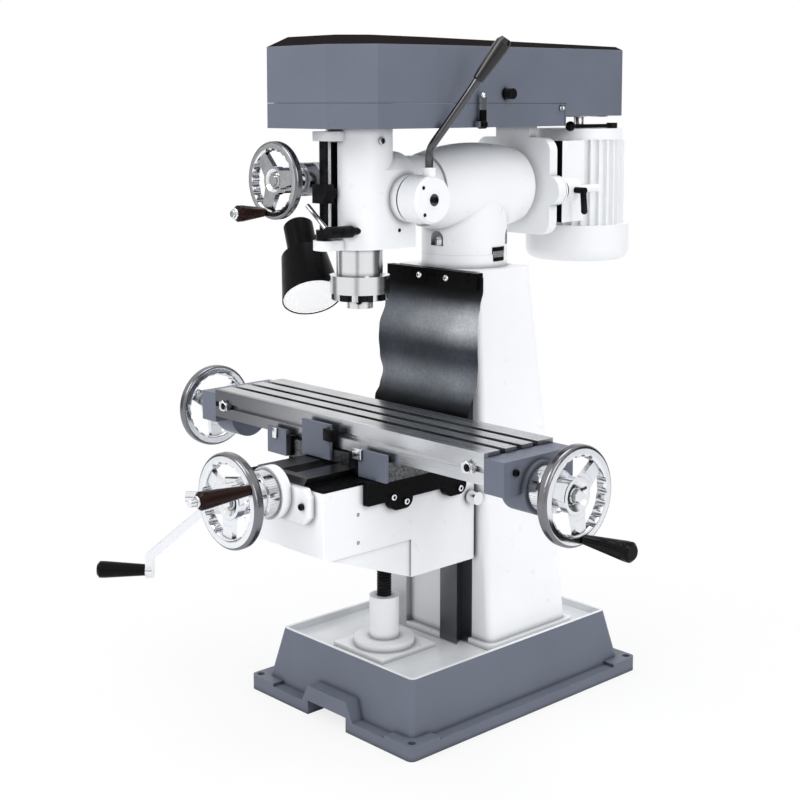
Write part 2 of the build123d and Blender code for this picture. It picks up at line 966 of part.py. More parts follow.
with BuildPart() as crank_arm:
    with BuildSketch(
        Plane(origin=(0, lift_y, 0), x_dir=crank_way, z_dir=(shaft_way[1], -shaft_way[0], 0))
    ):
        with BuildLine():
            Polyline(
                (arm_in, crank_z + crank_arm_width / 2),
                (arm_in, crank_z - crank_step - 2),
                (arm_in + crank_offset, crank_pin_z + 20),
                (arm_in + crank_offset, crank_pin_z - crank_arm_width / 2),
                (arm_out + crank_offset, crank_pin_z - crank_arm_width / 2),
                (arm_out + crank_offset, crank_pin_z + 28),
                (arm_out, crank_z - crank_step + 4),
                (arm_out, crank_z + crank_arm_width / 2),
                close=True,
            )
        make_face()
    extrude(amount=crank_arm_width / 2, both=True)
    rod(along_crank(arm_hub_start), along_crank(arm_out), crank_hub_radius)
    rod(along_crank(arm_in + crank_offset, crank_pin_z), along_crank(pin_foot, crank_pin_z), 14)
    rod(along_crank(pin_foot, crank_pin_z), along_crank(pin_foot + pin_length, crank_pin_z), handle_pin_radius)
    rod(along_crank(arm_hub_start), along_crank(arm_out), crank_shaft_radius, Mode.SUBTRACT)
export(crank_arm, "crank_arm")

crank_grip = grip(
    Plane(origin=along_crank(pin_foot + face_gap, crank_pin_z), x_dir=(0, 0, 1), z_dir=crank_way),
    crank_grip_length, 9.7, 14.2,
)
export(crank_grip, "crank_grip")

# Knee lock: a round-headed screw at the right of the dovetail
with BuildPart() as knee_lock:
    lock_face = knee_half + knee_lock_standoff
    rod_x(knee_lock_shank, knee_half - knee_lock_seat + 2, lock_face, knee_lock_y, knee_lock_z)
    rod_x(knee_lock_radius, lock_face, lock_face + knee_lock_length, knee_lock_y, knee_lock_z)
export(knee_lock, "knee_lock")

# Cross feed: bracket on the knee's front, screw, handwheel with dial, and its grip
bracket_face = knee_front - cross_plate_thickness
cross_boss_front = bracket_face - cross_boss_length
cross_dial_start = cross_boss_front - face_gap
cross_wheel_y = cross_dial_start - cross_dial_length - wheel_hub_length
with BuildPart() as cross_bracket:
    with BuildSketch(Plane.XZ.offset(-knee_front)) as plate:
        with Locations((0, (cross_plate_bottom + cross_plate_top) / 2)):
            Rectangle(2 * cross_plate_half, cross_plate_top - cross_plate_bottom)
        chamfer(plate.vertices(), length=cross_plate_corner)
    extrude(amount=cross_plate_thickness)
    rod_y(cross_boss_radius, cross_boss_front, bracket_face, 0, cross_screw_z)
    rod_y(
        feed_screw_radius + running_fit, cross_boss_front - 1, knee_front + 1, 0, cross_screw_z,
        Mode.SUBTRACT,
    )
export(cross_bracket, "cross_bracket")

with BuildPart() as cross_screw:
    rod_y(feed_screw_radius, cross_wheel_y - 6, cross_screw_end, 0, cross_screw_z)
export(cross_screw, "cross_screw")


def dial(axis_plane, radius, length):
    """A graduated collar, larger over the half away from the wheel."""
    return turned(
        axis_plane,
        [
            (feed_screw_radius, 0),
            (radius, 0),
            (radius, 0.55 * length),
            (radius - 4, 0.6 * length),
            (radius - 4, length),
            (feed_screw_radius, length),
        ],
    )


def pin_plane(axis_plane, ring, angle, lift):
    """Where a wheel's handle pin stands, raised along the wheel's axis."""
    across = axis_plane.x_dir * (ring * cos(radians(angle)))
    along = axis_plane.y_dir * (ring * sin(radians(angle)))
    return Plane(
        origin=axis_plane.origin + across + along + axis_plane.z_dir * lift,
        x_dir=axis_plane.x_dir, z_dir=axis_plane.z_dir,
    )


def facing_front(y, x, z):
    return Plane(origin=(x, y, z), x_dir=(1, 0, 0), z_dir=(0, -1, 0))


cross_axis = facing_front(cross_wheel_y, 0, cross_screw_z)
cross_wheel = handwheel(
    cross_axis, wheel_radius, wheel_rim, wheel_hub_length, feed_screw_radius, cross_pin_angle
)
cross_dial = dial(facing_front(cross_dial_start, 0, cross_screw_z), cross_dial_radius, cross_dial_length)
export_group([cross_wheel, cross_dial], "cross_wheel")

cross_grip = grip(
    pin_plane(cross_axis, wheel_radius - wheel_rim, cross_pin_angle, wheel_rim + face_gap),
    cross_grip_length, 8, 14,
)
export(cross_grip, "cross_grip")

# Saddle: rides on the knee's rail and carries the table's rail
saddle_bottom = knee_top + face_gap
saddle_top = table_bottom - 2
with BuildPart() as saddle:
    block(-saddle_half, saddle_half, saddle_front, saddle_back, saddle_bottom, saddle_top)
    with BuildSketch(Plane.YZ.offset(-saddle_half)):
        with BuildLine():
            Polyline(
                (table_y - table_rail_root_half, saddle_top),
                (table_y - table_rail_half, saddle_top + table_rail_height),
                (table_y + table_rail_half, saddle_top + table_rail_height),
                (table_y + table_rail_root_half, saddle_top),
                close=True,
            )
        make_face()
    extrude(amount=2 * saddle_half)
    with BuildSketch(Plane.XZ.offset(-saddle_front)):
        with BuildLine():
            Polyline(
                (-rail_root_half - 2 * slide_gap, knee_top),
                (-rail_top_half - 2 * slide_gap, knee_top + rail_height + slide_gap),
                (rail_top_half + 2 * slide_gap, knee_top + rail_height + slide_gap),
                (rail_root_half + 2 * slide_gap, knee_top),
                close=True,
            )
        make_face()
    extrude(amount=saddle_front - saddle_back, mode=Mode.SUBTRACT)
    rod_x(feed_screw_radius + 1, -saddle_half - 1, saddle_half + 1, table_y, feed_screw_z, Mode.SUBTRACT)
    rod_x(
        feed_nut_radius, -feed_nut_length / 2, feed_nut_length / 2, table_y, feed_screw_z, Mode.SUBTRACT
    )
export(saddle, "saddle")

saddle_mid = (saddle_front + saddle_back) / 2
with BuildPart() as table_nut:
    rod_x(feed_nut_radius, -feed_nut_length / 2, feed_nut_length / 2, table_y, feed_screw_z)
    rod_x(
        feed_screw_radius + running_fit, -feed_nut_length, feed_nut_length, table_y, feed_screw_z,
        Mode.SUBTRACT,
    )
with BuildPart() as cross_nut:
    rod_y(
        feed_nut_radius + 1, saddle_mid - feed_nut_length / 2, saddle_mid + feed_nut_length / 2,
        0, cross_screw_z,
    )
    block(
        -feed_screw_radius, feed_screw_radius, saddle_mid - feed_screw_radius, saddle_mid + feed_screw_radius,
        cross_screw_z, knee_top + rail_height + slide_gap,
    )
    rod_y(
        feed_screw_radius + running_fit, saddle_mid - feed_nut_length, saddle_mid + feed_nut_length,
        0, cross_screw_z, Mode.SUBTRACT,
    )
export_group([table_nut, cross_nut], "feed_nuts")

# Keeper bars under the saddle, along both sides of the knee; the right one has two hanging lobes
keeper_inner = knee_half + keeper_gap
keeper_outer = keeper_inner + keeper_thickness
with BuildPart() as saddle_keepers:
    block(-keeper_outer, -keeper_inner, saddle_front, saddle_back, keeper_bottom, saddle_bottom)
    block(keeper_inner, keeper_outer, keeper_front, keeper_back, keeper_bottom, saddle_bottom)
    for lobe_y in (lobe_front_y, lobe_back_y):
        with BuildSketch(Plane.YZ.offset(keeper_inner)):
            with Locations((lobe_y, (lobe_bottom + saddle_bottom) / 2)):
                RectangleRounded(lobe_width, saddle_bottom - lobe_bottom, lobe_corner)
        extrude(amount=keeper_thickness)
export(saddle_keepers, "saddle_keepers")

# Guard plates and the centre stop, on the saddle's front
stop_back = saddle_front
stop_front = saddle_front - stop_plate_thickness
with BuildPart() as saddle_stops:
    block(*left_guard, stop_front, stop_back, guard_bottom, guard_top)
    block(*right_guard, stop_front, stop_back, guard_bottom, guard_top)
    block(*centre_plate, stop_front, stop_back, centre_plate_bottom, centre_plate_top)
    block(
        *centre_block, stop_back, table_y - table_width / 2 - 1,
        stop_groove_z - dog_half_height, stop_groove_z + dog_half_height,
    )
export(saddle_stops, "saddle_stops")

# Table with its T-slots, the groove for the stop dogs and the female dovetail below
table_front = table_y - table_width / 2
table_back = table_y + table_width / 2
table_half = table_length / 2
groove_top = saddle_top + table_rail_height + slide_gap
flank = (table_rail_half - table_rail_root_half) / table_rail_height
groove_mouth_half = table_rail_root_half + flank * (table_bottom - saddle_top) + 2 * slide_gap
with BuildPart() as table:
    block(-table_half, table_half, table_front, table_back, table_bottom, table_top)
    for slot in range(tee_slots):
        slot_y = table_y + (slot - (tee_slots - 1) / 2) * tee_pitch
        block(
            -table_half, table_half, slot_y - tee_neck / 2, slot_y + tee_neck / 2,
            table_top - tee_neck_depth, table_top, Mode.SUBTRACT,
        )
        block(
            -table_half, table_half, slot_y - tee_width / 2, slot_y + tee_width / 2,
            table_top - tee_neck_depth - tee_height, table_top - tee_neck_depth, Mode.SUBTRACT,
        )
    block(
        -table_half, table_half, table_front, table_front + stop_groove_depth,
        stop_groove_z - stop_groove_height / 2, stop_groove_z + stop_groove_height / 2, Mode.SUBTRACT,
    )
    with BuildSketch(Plane.YZ.offset(-table_half)):
        with BuildLine():
            Polyline(
                (table_y - groove_mouth_half, table_bottom),
                (table_y - table_rail_half - 2 * slide_gap, groove_top),
                (table_y + table_rail_half + 2 * slide_gap, groove_top),
                (table_y + groove_mouth_half, table_bottom),
                close=True,
            )
        make_face()
    extrude(amount=table_length, mode=Mode.SUBTRACT)
export(table, "table")

cap_top = table_top - cap_top_drop
cap_outer = table_half + cap_thickness
cap_boss_face = cap_outer + cap_boss_reach
with BuildPart() as end_caps:
    for side in (-1, 1):
        block(
            min(side * table_half, side * cap_outer), max(side * table_half, side * cap_outer),
            table_front, table_back, cap_top - cap_height, cap_top,
        )
        rod_x(cap_boss_radius, side * table_half, side * cap_boss_face, table_y, feed_screw_z)
        rod_x(
            feed_screw_radius + running_fit, side * table_half, side * cap_boss_face, table_y,
            feed_screw_z, Mode.SUBTRACT,
        )
export(end_caps, "end_caps")

# Table feed: one screw from end to end, a handwheel and dial at each end, one grip at the right
dial_start = cap_boss_face + face_gap
wheel_x = dial_start + dial_length + wheel_hub_length
with BuildPart() as feed_screw:
    rod_x(feed_screw_radius, -wheel_x - 6, wheel_x + 6, table_y, feed_screw_z)
export(feed_screw, "feed_screw")


def facing_end(side, x):
    return Plane(origin=(side * x, table_y, feed_screw_z), x_dir=(0, 1, 0), z_dir=(side, 0, 0))


left_wheel = handwheel(facing_end(-1, wheel_x), wheel_radius, wheel_rim, wheel_hub_length, feed_screw_radius)
right_wheel = handwheel(
    facing_end(1, wheel_x), wheel_radius, wheel_rim, wheel_hub_length, feed_screw_radius, table_pin_angle
)
left_dial = dial(facing_end(-1, dial_start), dial_radius, dial_length)
right_dial = dial(facing_end(1, dial_start), dial_radius, dial_length)
export_group([left_wheel, right_wheel, left_dial, right_dial], "table_wheels")

table_grip = grip(
    pin_plane(facing_end(1, wheel_x), wheel_radius - wheel_rim, table_pin_angle, wheel_rim + face_gap),
    table_grip_length, 7.5, 15,
)
export(table_grip, "table_grip")


def stop_dog(x):
    """A stop that slides along the groove in the table's front edge."""
    with BuildPart() as dog:
        block(
            x - dog_half, x + dog_half, table_front - dog_reach, table_front + stop_groove_depth - 2 * slide_gap,
            stop_groove_z - stop_groove_height / 2 + slide_gap, stop_groove_z + stop_groove_height / 2 - slide_gap,
        )
        block(
            x - dog_half, x + dog_half, table_front - dog_reach, table_front - slide_gap,
            stop_groove_z - dog_half_height, stop_groove_z + dog_half_height,
        )
    return dog


left_dog = stop_dog(dog_inset - table_length / 2)
export(left_dog, "left_dog")
right_dog = stop_dog(table_length / 2 - dog_inset)
export(right_dog, "right_dog")

# Turret: a drum on the column's ring, with the barrel that clamps the overarm
turret_bottom = ring_top + face_gap
overarm_axis = Axis((0, 0, overarm_z), (0, 1, 0))
with BuildPart() as turret:
    rod_z(turret_radius, turret_bottom, overarm_z, 0, turret_y)
    with BuildSketch(Plane.YZ):
        with BuildLine():
            Line((barrel_front, overarm_z), (barrel_front, overarm_z + barrel_front_radius))
            ThreePointArc(
                (barrel_front, overarm_z + barrel_front_radius),
                (turret_y, overarm_z + barrel_crown_radius),
                (barrel_back, overarm_z + barrel_back_radius),
            )
            Line((barrel_back, overarm_z + barrel_back_radius), (barrel_back, overarm_z))
            Line((barrel_back, overarm_z), (barrel_front, overarm_z))
        make_face()
    revolve(axis=overarm_axis)
    rod_y(overarm_radius + running_fit, barrel_front - 1, barrel_back + 1, 0, overarm_z, Mode.SUBTRACT)
    rod_z(
        kingpin_radius + running_fit, turret_bottom, ring_top + kingpin_height + 1, 0, turret_y,
        Mode.SUBTRACT,
    )
    with Locations((0, turret_y, turret_bottom + nut_seat)):
        with PolarLocations(turret_radius - nut_inset, turret_nut_count, start_angle=turret_nut_angle):
            Cylinder(
                nut_pocket_radius, nut_pocket_height, align=(Align.CENTER, Align.CENTER, Align.MIN),
                mode=Mode.SUBTRACT,
            )
            with Locations((0, 0, nut_pocket_height)):
                Sphere(nut_pocket_radius, mode=Mode.SUBTRACT)
export(turret, "turret")

with BuildPart() as turret_nuts:
    with Locations((0, turret_y, turret_bottom + nut_seat)):
        with PolarLocations(turret_radius - nut_inset, turret_nut_count, start_angle=turret_nut_angle):
            Cylinder(nut_radius, nut_height, align=(Align.CENTER, Align.CENTER, Align.MIN))
            with Locations((0, 0, nut_height)):
                Sphere(nut_radius - 1.5)
export(turret_nuts, "turret_nuts")

# Overarm: a round bar through the barrel, with a collar against the head
with BuildPart() as overarm:
    rod_y(overarm_radius, head_back, bracket_y, 0, overarm_z)
    rod_y(neck_radius, head_back, barrel_front - 2 * slide_gap, 0, overarm_z)
export(overarm, "overarm")

# Head casting
feed_y = spindle_y + rack_flat + pinion_tip_radius + slide_gap
lug_top = head_top - top_lug_drop
worm_bore = worm_radius + 2 * slide_gap
worm_front = spindle_y + 16
lock_seat_y = spindle_y - 24
with BuildPart() as neck_shoulders:
    block(-head_half - 1, head_half + 1, spindle_y, head_back + 1, overarm_z, head_top + 1)
    rod_z(head_half, overarm_z - 1, head_top + 2, 0, spindle_y, Mode.SUBTRACT)
    rod_y(head_neck_radius, spindle_y - 1, head_back + 2, 0, overarm_z, Mode.SUBTRACT)
with BuildPart() as head:
    with BuildSketch(Plane.XY.offset(head_bottom)):
        with Locations((0, spindle_y)):
            Circle(head_half)
        with Locations((0, (spindle_y + head_back) / 2)):
            Rectangle(2 * head_half, head_back - spindle_y)
    extrude(amount=head_top - head_bottom)
    add(neck_shoulders.part, mode=Mode.SUBTRACT)
    with BuildSketch(Plane.XY.offset(head_bottom)):
        with Locations((0, (lug_front + spindle_y) / 2)):
            RectangleRounded(2 * lug_half, spindle_y - lug_front, lug_corner)
    extrude(amount=bottom_lug_thickness)
    with BuildSketch(Plane.XY.offset(lug_top - top_lug_thickness)):
        with Locations((0, (lug_front + spindle_y) / 2)):
            RectangleRounded(2 * lug_half, spindle_y - lug_front, lug_corner)
    extrude(amount=top_lug_thickness)
    rod_x(feed_boss_radius, 0, feed_boss_face, feed_y, feed_z)
    rod_x(left_boss_radius, -left_boss_face, 0, feed_y, feed_z)
    rod_y(fine_boss_radius, fine_boss_front, head_back, fine_x, fine_z)
    rod_y(neck_radius, head_back, 0, 0, overarm_z, Mode.SUBTRACT)
    rod_z(quill_radius + running_fit, head_bottom - 1, quill_bore_top, 0, spindle_y, Mode.SUBTRACT)
    rod_z(drive_sleeve_radius + running_fit, quill_bore_top, head_top + 1, 0, spindle_y, Mode.SUBTRACT)
    block(
        -quill_slot_half, quill_slot_half, spindle_y - head_half - 1, spindle_y - drive_sleeve_radius - 4,
        quill_slot_bottom, quill_slot_top, Mode.SUBTRACT,
    )
    rod_x(journal_radius + running_fit, -pinion_half - 1, feed_boss_face + 1, feed_y, feed_z, Mode.SUBTRACT)
    rod_x(pinion_shaft_radius + running_fit, -left_boss_face, 0, feed_y, feed_z, Mode.SUBTRACT)
    rod_x(
        journal_radius + slide_gap, -left_boss_face - 1, -worm_wheel_inner + slide_gap, feed_y, feed_z,
        Mode.SUBTRACT,
    )
    rod_y(fine_shaft_radius + running_fit, fine_boss_front - 1, head_back, fine_x, fine_z, Mode.SUBTRACT)
    rod_y(worm_bore, worm_front - 2, head_back, fine_x, fine_z, Mode.SUBTRACT)
    rod_z(stop_rod_radius, head_bottom - 1, head_top + 1, 0, stop_rod_y, Mode.SUBTRACT)
    rod_y(
        lock_shank_radius + running_fit, spindle_y - head_half, lock_seat_y, lock_x, lock_z, Mode.SUBTRACT
    )
export(head, "head")

with BuildPart() as depth_stop_rod:
    rod_z(stop_rod_radius, head_bottom, lug_top, 0, stop_rod_y)
export(depth_stop_rod, "depth_stop_rod")

# Quill with a collar below and a toothed rack at the back, its bearings and the depth stop block
quill_top = quill_bottom + quill_length
rack_y = spindle_y + rack_flat
lower_bearing = quill_bottom + bearing_inset
upper_bearing = quill_top - bearing_inset - bearing_width
with BuildPart() as quill:
    rod_z(quill_radius, quill_bottom, quill_top, 0, spindle_y)
    rod_z(spindle_radius + 3, quill_bottom - 1, quill_top + 1, 0, spindle_y, Mode.SUBTRACT)
    rod_z(bearing_radius, lower_bearing, lower_bearing + bearing_width, 0, spindle_y, Mode.SUBTRACT)
    rod_z(bearing_radius, upper_bearing, upper_bearing + bearing_width, 0, spindle_y, Mode.SUBTRACT)
    block(
        -rack_half - 3, rack_half + 3, rack_y, spindle_y + quill_radius + 1, quill_bottom + 40, quill_top + 1,
        Mode.SUBTRACT,
    )
    rod_z(quill_collar_radius, quill_bottom - quill_collar_length, quill_bottom, 0, spindle_y)
    rod_z(
        spindle_nose_radius + 1, quill_bottom - quill_collar_length - 1, quill_bottom, 0, spindle_y,
        Mode.SUBTRACT,
    )
    teeth = int((quill_length - 50) / rack_pitch)
    for tooth in range(teeth):
        tooth_z = quill_bottom + 45 + tooth * rack_pitch
        block(
            -rack_half, rack_half, rack_y - rack_depth, rack_y, tooth_z, tooth_z + rack_pitch / 2,
            Mode.SUBTRACT,
        )
export(quill, "quill")

with BuildPart() as spindle_bearings:
    for seat in (lower_bearing, upper_bearing):
        rod_z(bearing_radius, seat, seat + bearing_width, 0, spindle_y)
        rod_z(spindle_radius + running_fit, seat, seat + bearing_width, 0, spindle_y, Mode.SUBTRACT)
export(spindle_bearings, "spindle_bearings")

arm_low = stop_block_bottom + 7
arm_high = stop_block_bottom + stop_block_height - 7
with BuildPart() as stop_block:
    block(
        stop_block_left, stop_block_half, stop_rod_y - stop_block_reach, stop_rod_y + stop_block_reach,
        stop_block_bottom, stop_block_bottom + stop_block_height,
    )
    block(
        1 - quill_slot_half, quill_slot_half - 1, stop_rod_y, spindle_y - spindle_radius, arm_low, arm_high
    )
    rod_z(quill_radius, arm_low - 1, arm_high + 1, 0, spindle_y, Mode.SUBTRACT)
    rod_z(
        stop_rod_radius + slide_gap, stop_block_bottom - 1, stop_block_bottom + stop_block_height + 1,
        0, stop_rod_y, Mode.SUBTRACT,
    )
export(stop_block, "stop_block")

with BuildPart() as stop_nut:
    nut_foot = head_bottom + bottom_lug_thickness + 1
    rod_z(stop_nut_radius, nut_foot, nut_foot + stop_nut_length, 0, stop_rod_y)
    rod_z(stop_rod_radius + running_fit, nut_foot - 1, nut_foot + stop_nut_length + 1, 0, stop_rod_y, Mode.SUBTRACT)
export(stop_nut, "stop_nut")

# Spindle: nose, body in the bearings, and a slim drive end inside the pulley's sleeve
nose_top = quill_bottom - 1
drive_start = quill_top + 2
with BuildPart() as spindle:
    rod_z(spindle_nose_radius, spindle_nose_bottom, nose_top, 0, spindle_y)
    rod_z(spindle_radius, nose_top, drive_start, 0, spindle_y)
    rod_z(spindle_top_radius, drive_start, spindle_top, 0, spindle_y)
    rod_z(
        collet_radius, spindle_nose_bottom - 1, spindle_nose_bottom + collet_depth, 0, spindle_y,
        Mode.SUBTRACT,
    )
export(spindle, "spindle")

ring_bottom = quill_bottom - quill_collar_length - 2 * face_gap - nose_ring_length
with BuildPart() as nose_ring:
    rod_z(nose_ring_radius, ring_bottom, ring_bottom + nose_ring_length, 0, spindle_y)
    rod_z(spindle_nose_radius, ring_bottom - 1, ring_bottom + nose_ring_length + 1, 0, spindle_y, Mode.SUBTRACT)
    with Locations((0, spindle_y, ring_bottom + nose_ring_length / 2)):
        with PolarLocations(nose_ring_radius, nose_ring_notches):
            Box(6, 9, 2 * nose_ring_length, mode=Mode.SUBTRACT)
export(nose_ring, "nose_ring")

# Down feed: pinion shaft with worm wheel, hub, bent lever with its grip
with BuildPart() as pinion_shaft:
    rod_x(pinion_tip_radius, -pinion_half, pinion_half, feed_y, feed_z)
    with Locations(Plane(origin=(0, feed_y, feed_z), x_dir=(0, 1, 0), z_dir=(1, 0, 0))):
        with PolarLocations(pinion_tip_radius, pinion_teeth):
            Box(2 * rack_depth, 2.6, 2 * pinion_half + 1, mode=Mode.SUBTRACT)
    rod_x(journal_radius, pinion_half + journal_start, feed_boss_face, feed_y, feed_z)
    rod_x(pinion_shaft_radius, -worm_wheel_outer, feed_hub_end, feed_y, feed_z)
worm_wheel = turned(
    Plane(origin=(0, feed_y, feed_z), x_dir=(0, 1, 0), z_dir=(-1, 0, 0)),
    [
        (pinion_shaft_radius, worm_wheel_inner),
        (pinion_tip_radius, worm_wheel_inner),
        (pinion_tip_radius, worm_wheel_outer - 8),
        (journal_radius + slide_gap - running_fit, worm_wheel_outer - 8),
        (journal_radius + slide_gap - running_fit, worm_wheel_outer),
        (pinion_shaft_radius, worm_wheel_outer),
    ],
)
export_group([pinion_shaft, worm_wheel], "feed_pinion")

hub_start = feed_boss_face + 2 * face_gap
lever_foot = (feed_hub_end - feed_collar_radius - 1, feed_y, feed_z + feed_hub_radius)
hub_shape = turned(
    Plane(origin=(0, feed_y, feed_z), x_dir=(0, 1, 0), z_dir=(1, 0, 0)),
    [
        (pinion_shaft_radius, hub_start),
        (feed_hub_radius - 8, hub_start),
        (feed_hub_radius - 8, feed_hub_end - feed_hub_length),
        (feed_hub_radius, feed_hub_end - feed_hub_length),
        (feed_hub_radius, feed_hub_end - 5),
        (feed_hub_radius - 4, feed_hub_end),
        (pinion_shaft_radius, feed_hub_end),
    ],
)
with BuildPart() as feed_hub:
    add(hub_shape.part)
    rod_z(feed_collar_radius, feed_z + feed_hub_radius - 9, lever_foot[2] + feed_collar_height, lever_foot[0], feed_y)
    rod_z(lever_radius, lever_foot[2], lever_foot[2] + 2 * feed_collar_height, lever_foot[0], feed_y, Mode.SUBTRACT)
export(feed_hub, "feed_hub")

lever_way = (Vector(*lever_tip) - Vector(*lever_bend)).normalized()
grip_foot = Vector(*lever_tip) - lever_way * lever_grip_length
rod_end = Vector(*lever_tip) - lever_way * 20
with BuildPart() as lever_rod:
    with BuildLine() as lever_path:
        Line(lever_foot, (lever_foot[0], feed_y, lever_foot[2] + 15))
        Spline(
            (lever_foot[0], feed_y, lever_foot[2] + 15),
            lever_bend,
            Vector(*lever_bend) + lever_way * 40,
            tangents=((0, 0, 1), lever_way),
        )
        Line(Vector(*lever_bend) + lever_way * 40, rod_end)
    with BuildSketch(Plane(origin=lever_foot, z_dir=(0, 0, 1))):
        Circle(lever_radius)
    sweep()
lever_grip = turned(
    Plane(origin=grip_foot, z_dir=lever_way),
    [
        (lever_radius, 0),
        (8, 0),
        (9, 3),
        (12.5, lever_grip_length - 22),
        (12.5, lever_grip_length - 8),
        (8, lever_grip_length),
        (0, lever_grip_length),
        (0, lever_grip_length - 20),
        (lever_radius, lever_grip_length - 20),
    ],
)
export_group([lever_rod, lever_grip], "feed_lever")

# Fine feed: wheel on its worm shaft, and its grip
fine_hub_length = fine_boss_front - face_gap - fine_wheel_y
fine_axis = facing_front(fine_wheel_y, fine_x, fine_z)
with BuildPart() as worm_shaft:
    rod_y(fine_shaft_radius, fine_wheel_y - 6, worm_front, fine_x, fine_z)
    rod_y(worm_radius, worm_front, head_back - 3, fine_x, fine_z)
fine_wheel = handwheel(
    fine_axis, fine_wheel_radius, fine_wheel_rim, fine_hub_length, fine_shaft_radius, fine_pin_angle
)
export_group([fine_wheel, worm_shaft], "fine_feed_wheel")

fine_grip = grip(
    pin_plane(fine_axis, fine_wheel_radius - fine_wheel_rim, fine_pin_angle, fine_wheel_rim + face_gap),
    fine_grip_length, 7.5, 13,
)
export(fine_grip, "fine_feed_grip")

# Quill lock: a hub on a short screw, with a rod across it
with BuildPart() as quill_lock:
    hub_back = spindle_y - head_half + lock_hub_ease
    rod_y(lock_hub_radius, lock_hub_front, hub_back, lock_x, lock_z)
    rod_y(lock_shank_radius, lock_hub_front, lock_seat_y - 1, lock_x, lock_z)
    rod(
        (lock_x, lock_hub_front + lock_rod_radius + 1, lock_z),
        (
            lock_x + lock_rod_length * cos(radians(lock_rod_angle)),
            lock_hub_front + lock_rod_radius + 1,
            lock_z + lock_rod_length * sin(radians(lock_rod_angle)),
        ),
        lock_rod_radius,
    )
export(quill_lock, "quill_lock")

# Stepped pulleys
def step_pulley(x, y, bottom, steps, bore, sleeve=None):
    """A V-grooved cone pulley; sleeve is (radius, foot) of a tube below it."""
    profile = [(bore, bottom)]
    if sleeve:
        profile = [(bore, sleeve[1]), (sleeve[0], sleeve[1]), (sleeve[0], bottom)]
    for level, radius in enumerate(steps):
        foot = bottom + level * pulley_step
        middle = foot + pulley_step / 2
        profile.append((radius, foot))
        profile.append((radius, middle - groove_width / 2))
        profile.append((radius - groove_depth, middle - groove_floor / 2))
        profile.append((radius - groove_depth, middle + groove_floor / 2))
        profile.append((radius, middle + groove_width / 2))
        profile.append((radius, foot + pulley_step))
    profile.append((bore, bottom + len(steps) * pulley_step))
    return turned(Plane((x, y, 0)), profile)


spindle_pulley = step_pulley(
    0, spindle_y, pulley_bottom, spindle_steps, spindle_top_radius + running_fit,
    (drive_sleeve_radius, quill_bore_top + 4),
)
export(spindle_pulley, "spindle_pulley")
idler_pulley = step_pulley(0, idler_y, pulley_bottom, idler_steps, idler_pin_radius + running_fit)
export(idler_pulley, "idler_pulley")
motor_pulley = step_pulley(0, motor_y, pulley_bottom, motor_steps, motor_shaft_radius)
export(motor_pulley, "motor_pulley")


def belt(y_a, radius_a, y_b, radius_b, level):
    """A closed belt round two pulleys, lying in the grooves of one level."""
    middle = pulley_bottom + (level + 0.5) * pulley_step
    with BuildPart() as loop:
        with BuildSketch(Plane.XY.offset(middle - belt_width / 2)):
            with BuildLine():
                CenterArc((0, y_a), radius_a - 1, 0, 360)
                CenterArc((0, y_b), radius_b - 1, 0, 360)
            make_hull()
        extrude(amount=belt_width)
        with BuildSketch(Plane.XY.offset(middle - belt_width / 2)):
            with BuildLine():
                CenterArc((0, y_a), radius_a - 1 - belt_depth, 0, 360)
                CenterArc((0, y_b), radius_b - 1 - belt_depth, 0, 360)
            make_hull()
        extrude(amount=belt_width, mode=Mode.SUBTRACT)
    return loop


front_belt = belt(
    spindle_y, spindle_steps[front_belt_index], idler_y, idler_steps[front_belt_index], front_belt_index
)
rear_belt = belt(idler_y, idler_steps[rear_belt_index], motor_y, motor_steps[rear_belt_index], rear_belt_index)
export_group([front_belt, rear_belt], "drive_belts")

# Motor bracket on the overarm's back end, with the two bars that the motor slides on
bracket_back = bracket_y + bracket_thickness
bracket_bottom = overarm_z - bracket_height / 2
with BuildPart() as bracket_plate:
    with BuildSketch(Plane.XZ.offset(-bracket_y)):
        with Locations((0, overarm_z)):
            RectangleRounded(2 * bracket_half, bracket_height, bracket_corner)
    extrude(amount=-bracket_thickness)
    for side in (-1, 1):
        rod_y(slide_boss_radius, bracket_y, slide_boss_end, side * slide_bar_x, slide_bar_z)
        rod_y(slide_bar_radius, bracket_y, slide_boss_end, side * slide_bar_x, slide_bar_z, Mode.SUBTRACT)
    block(
        -bracket_post_half, bracket_post_half, bracket_y, bracket_back,
        overarm_z + bracket_height / 2 - bracket_corner, pan_bottom,
    )
with BuildPart() as slide_bars:
    for side in (-1, 1):
        rod_y(slide_bar_radius, bracket_y, slide_bar_end, side * slide_bar_x, slide_bar_z)
export_group([bracket_plate, slide_bars], "motor_bracket")

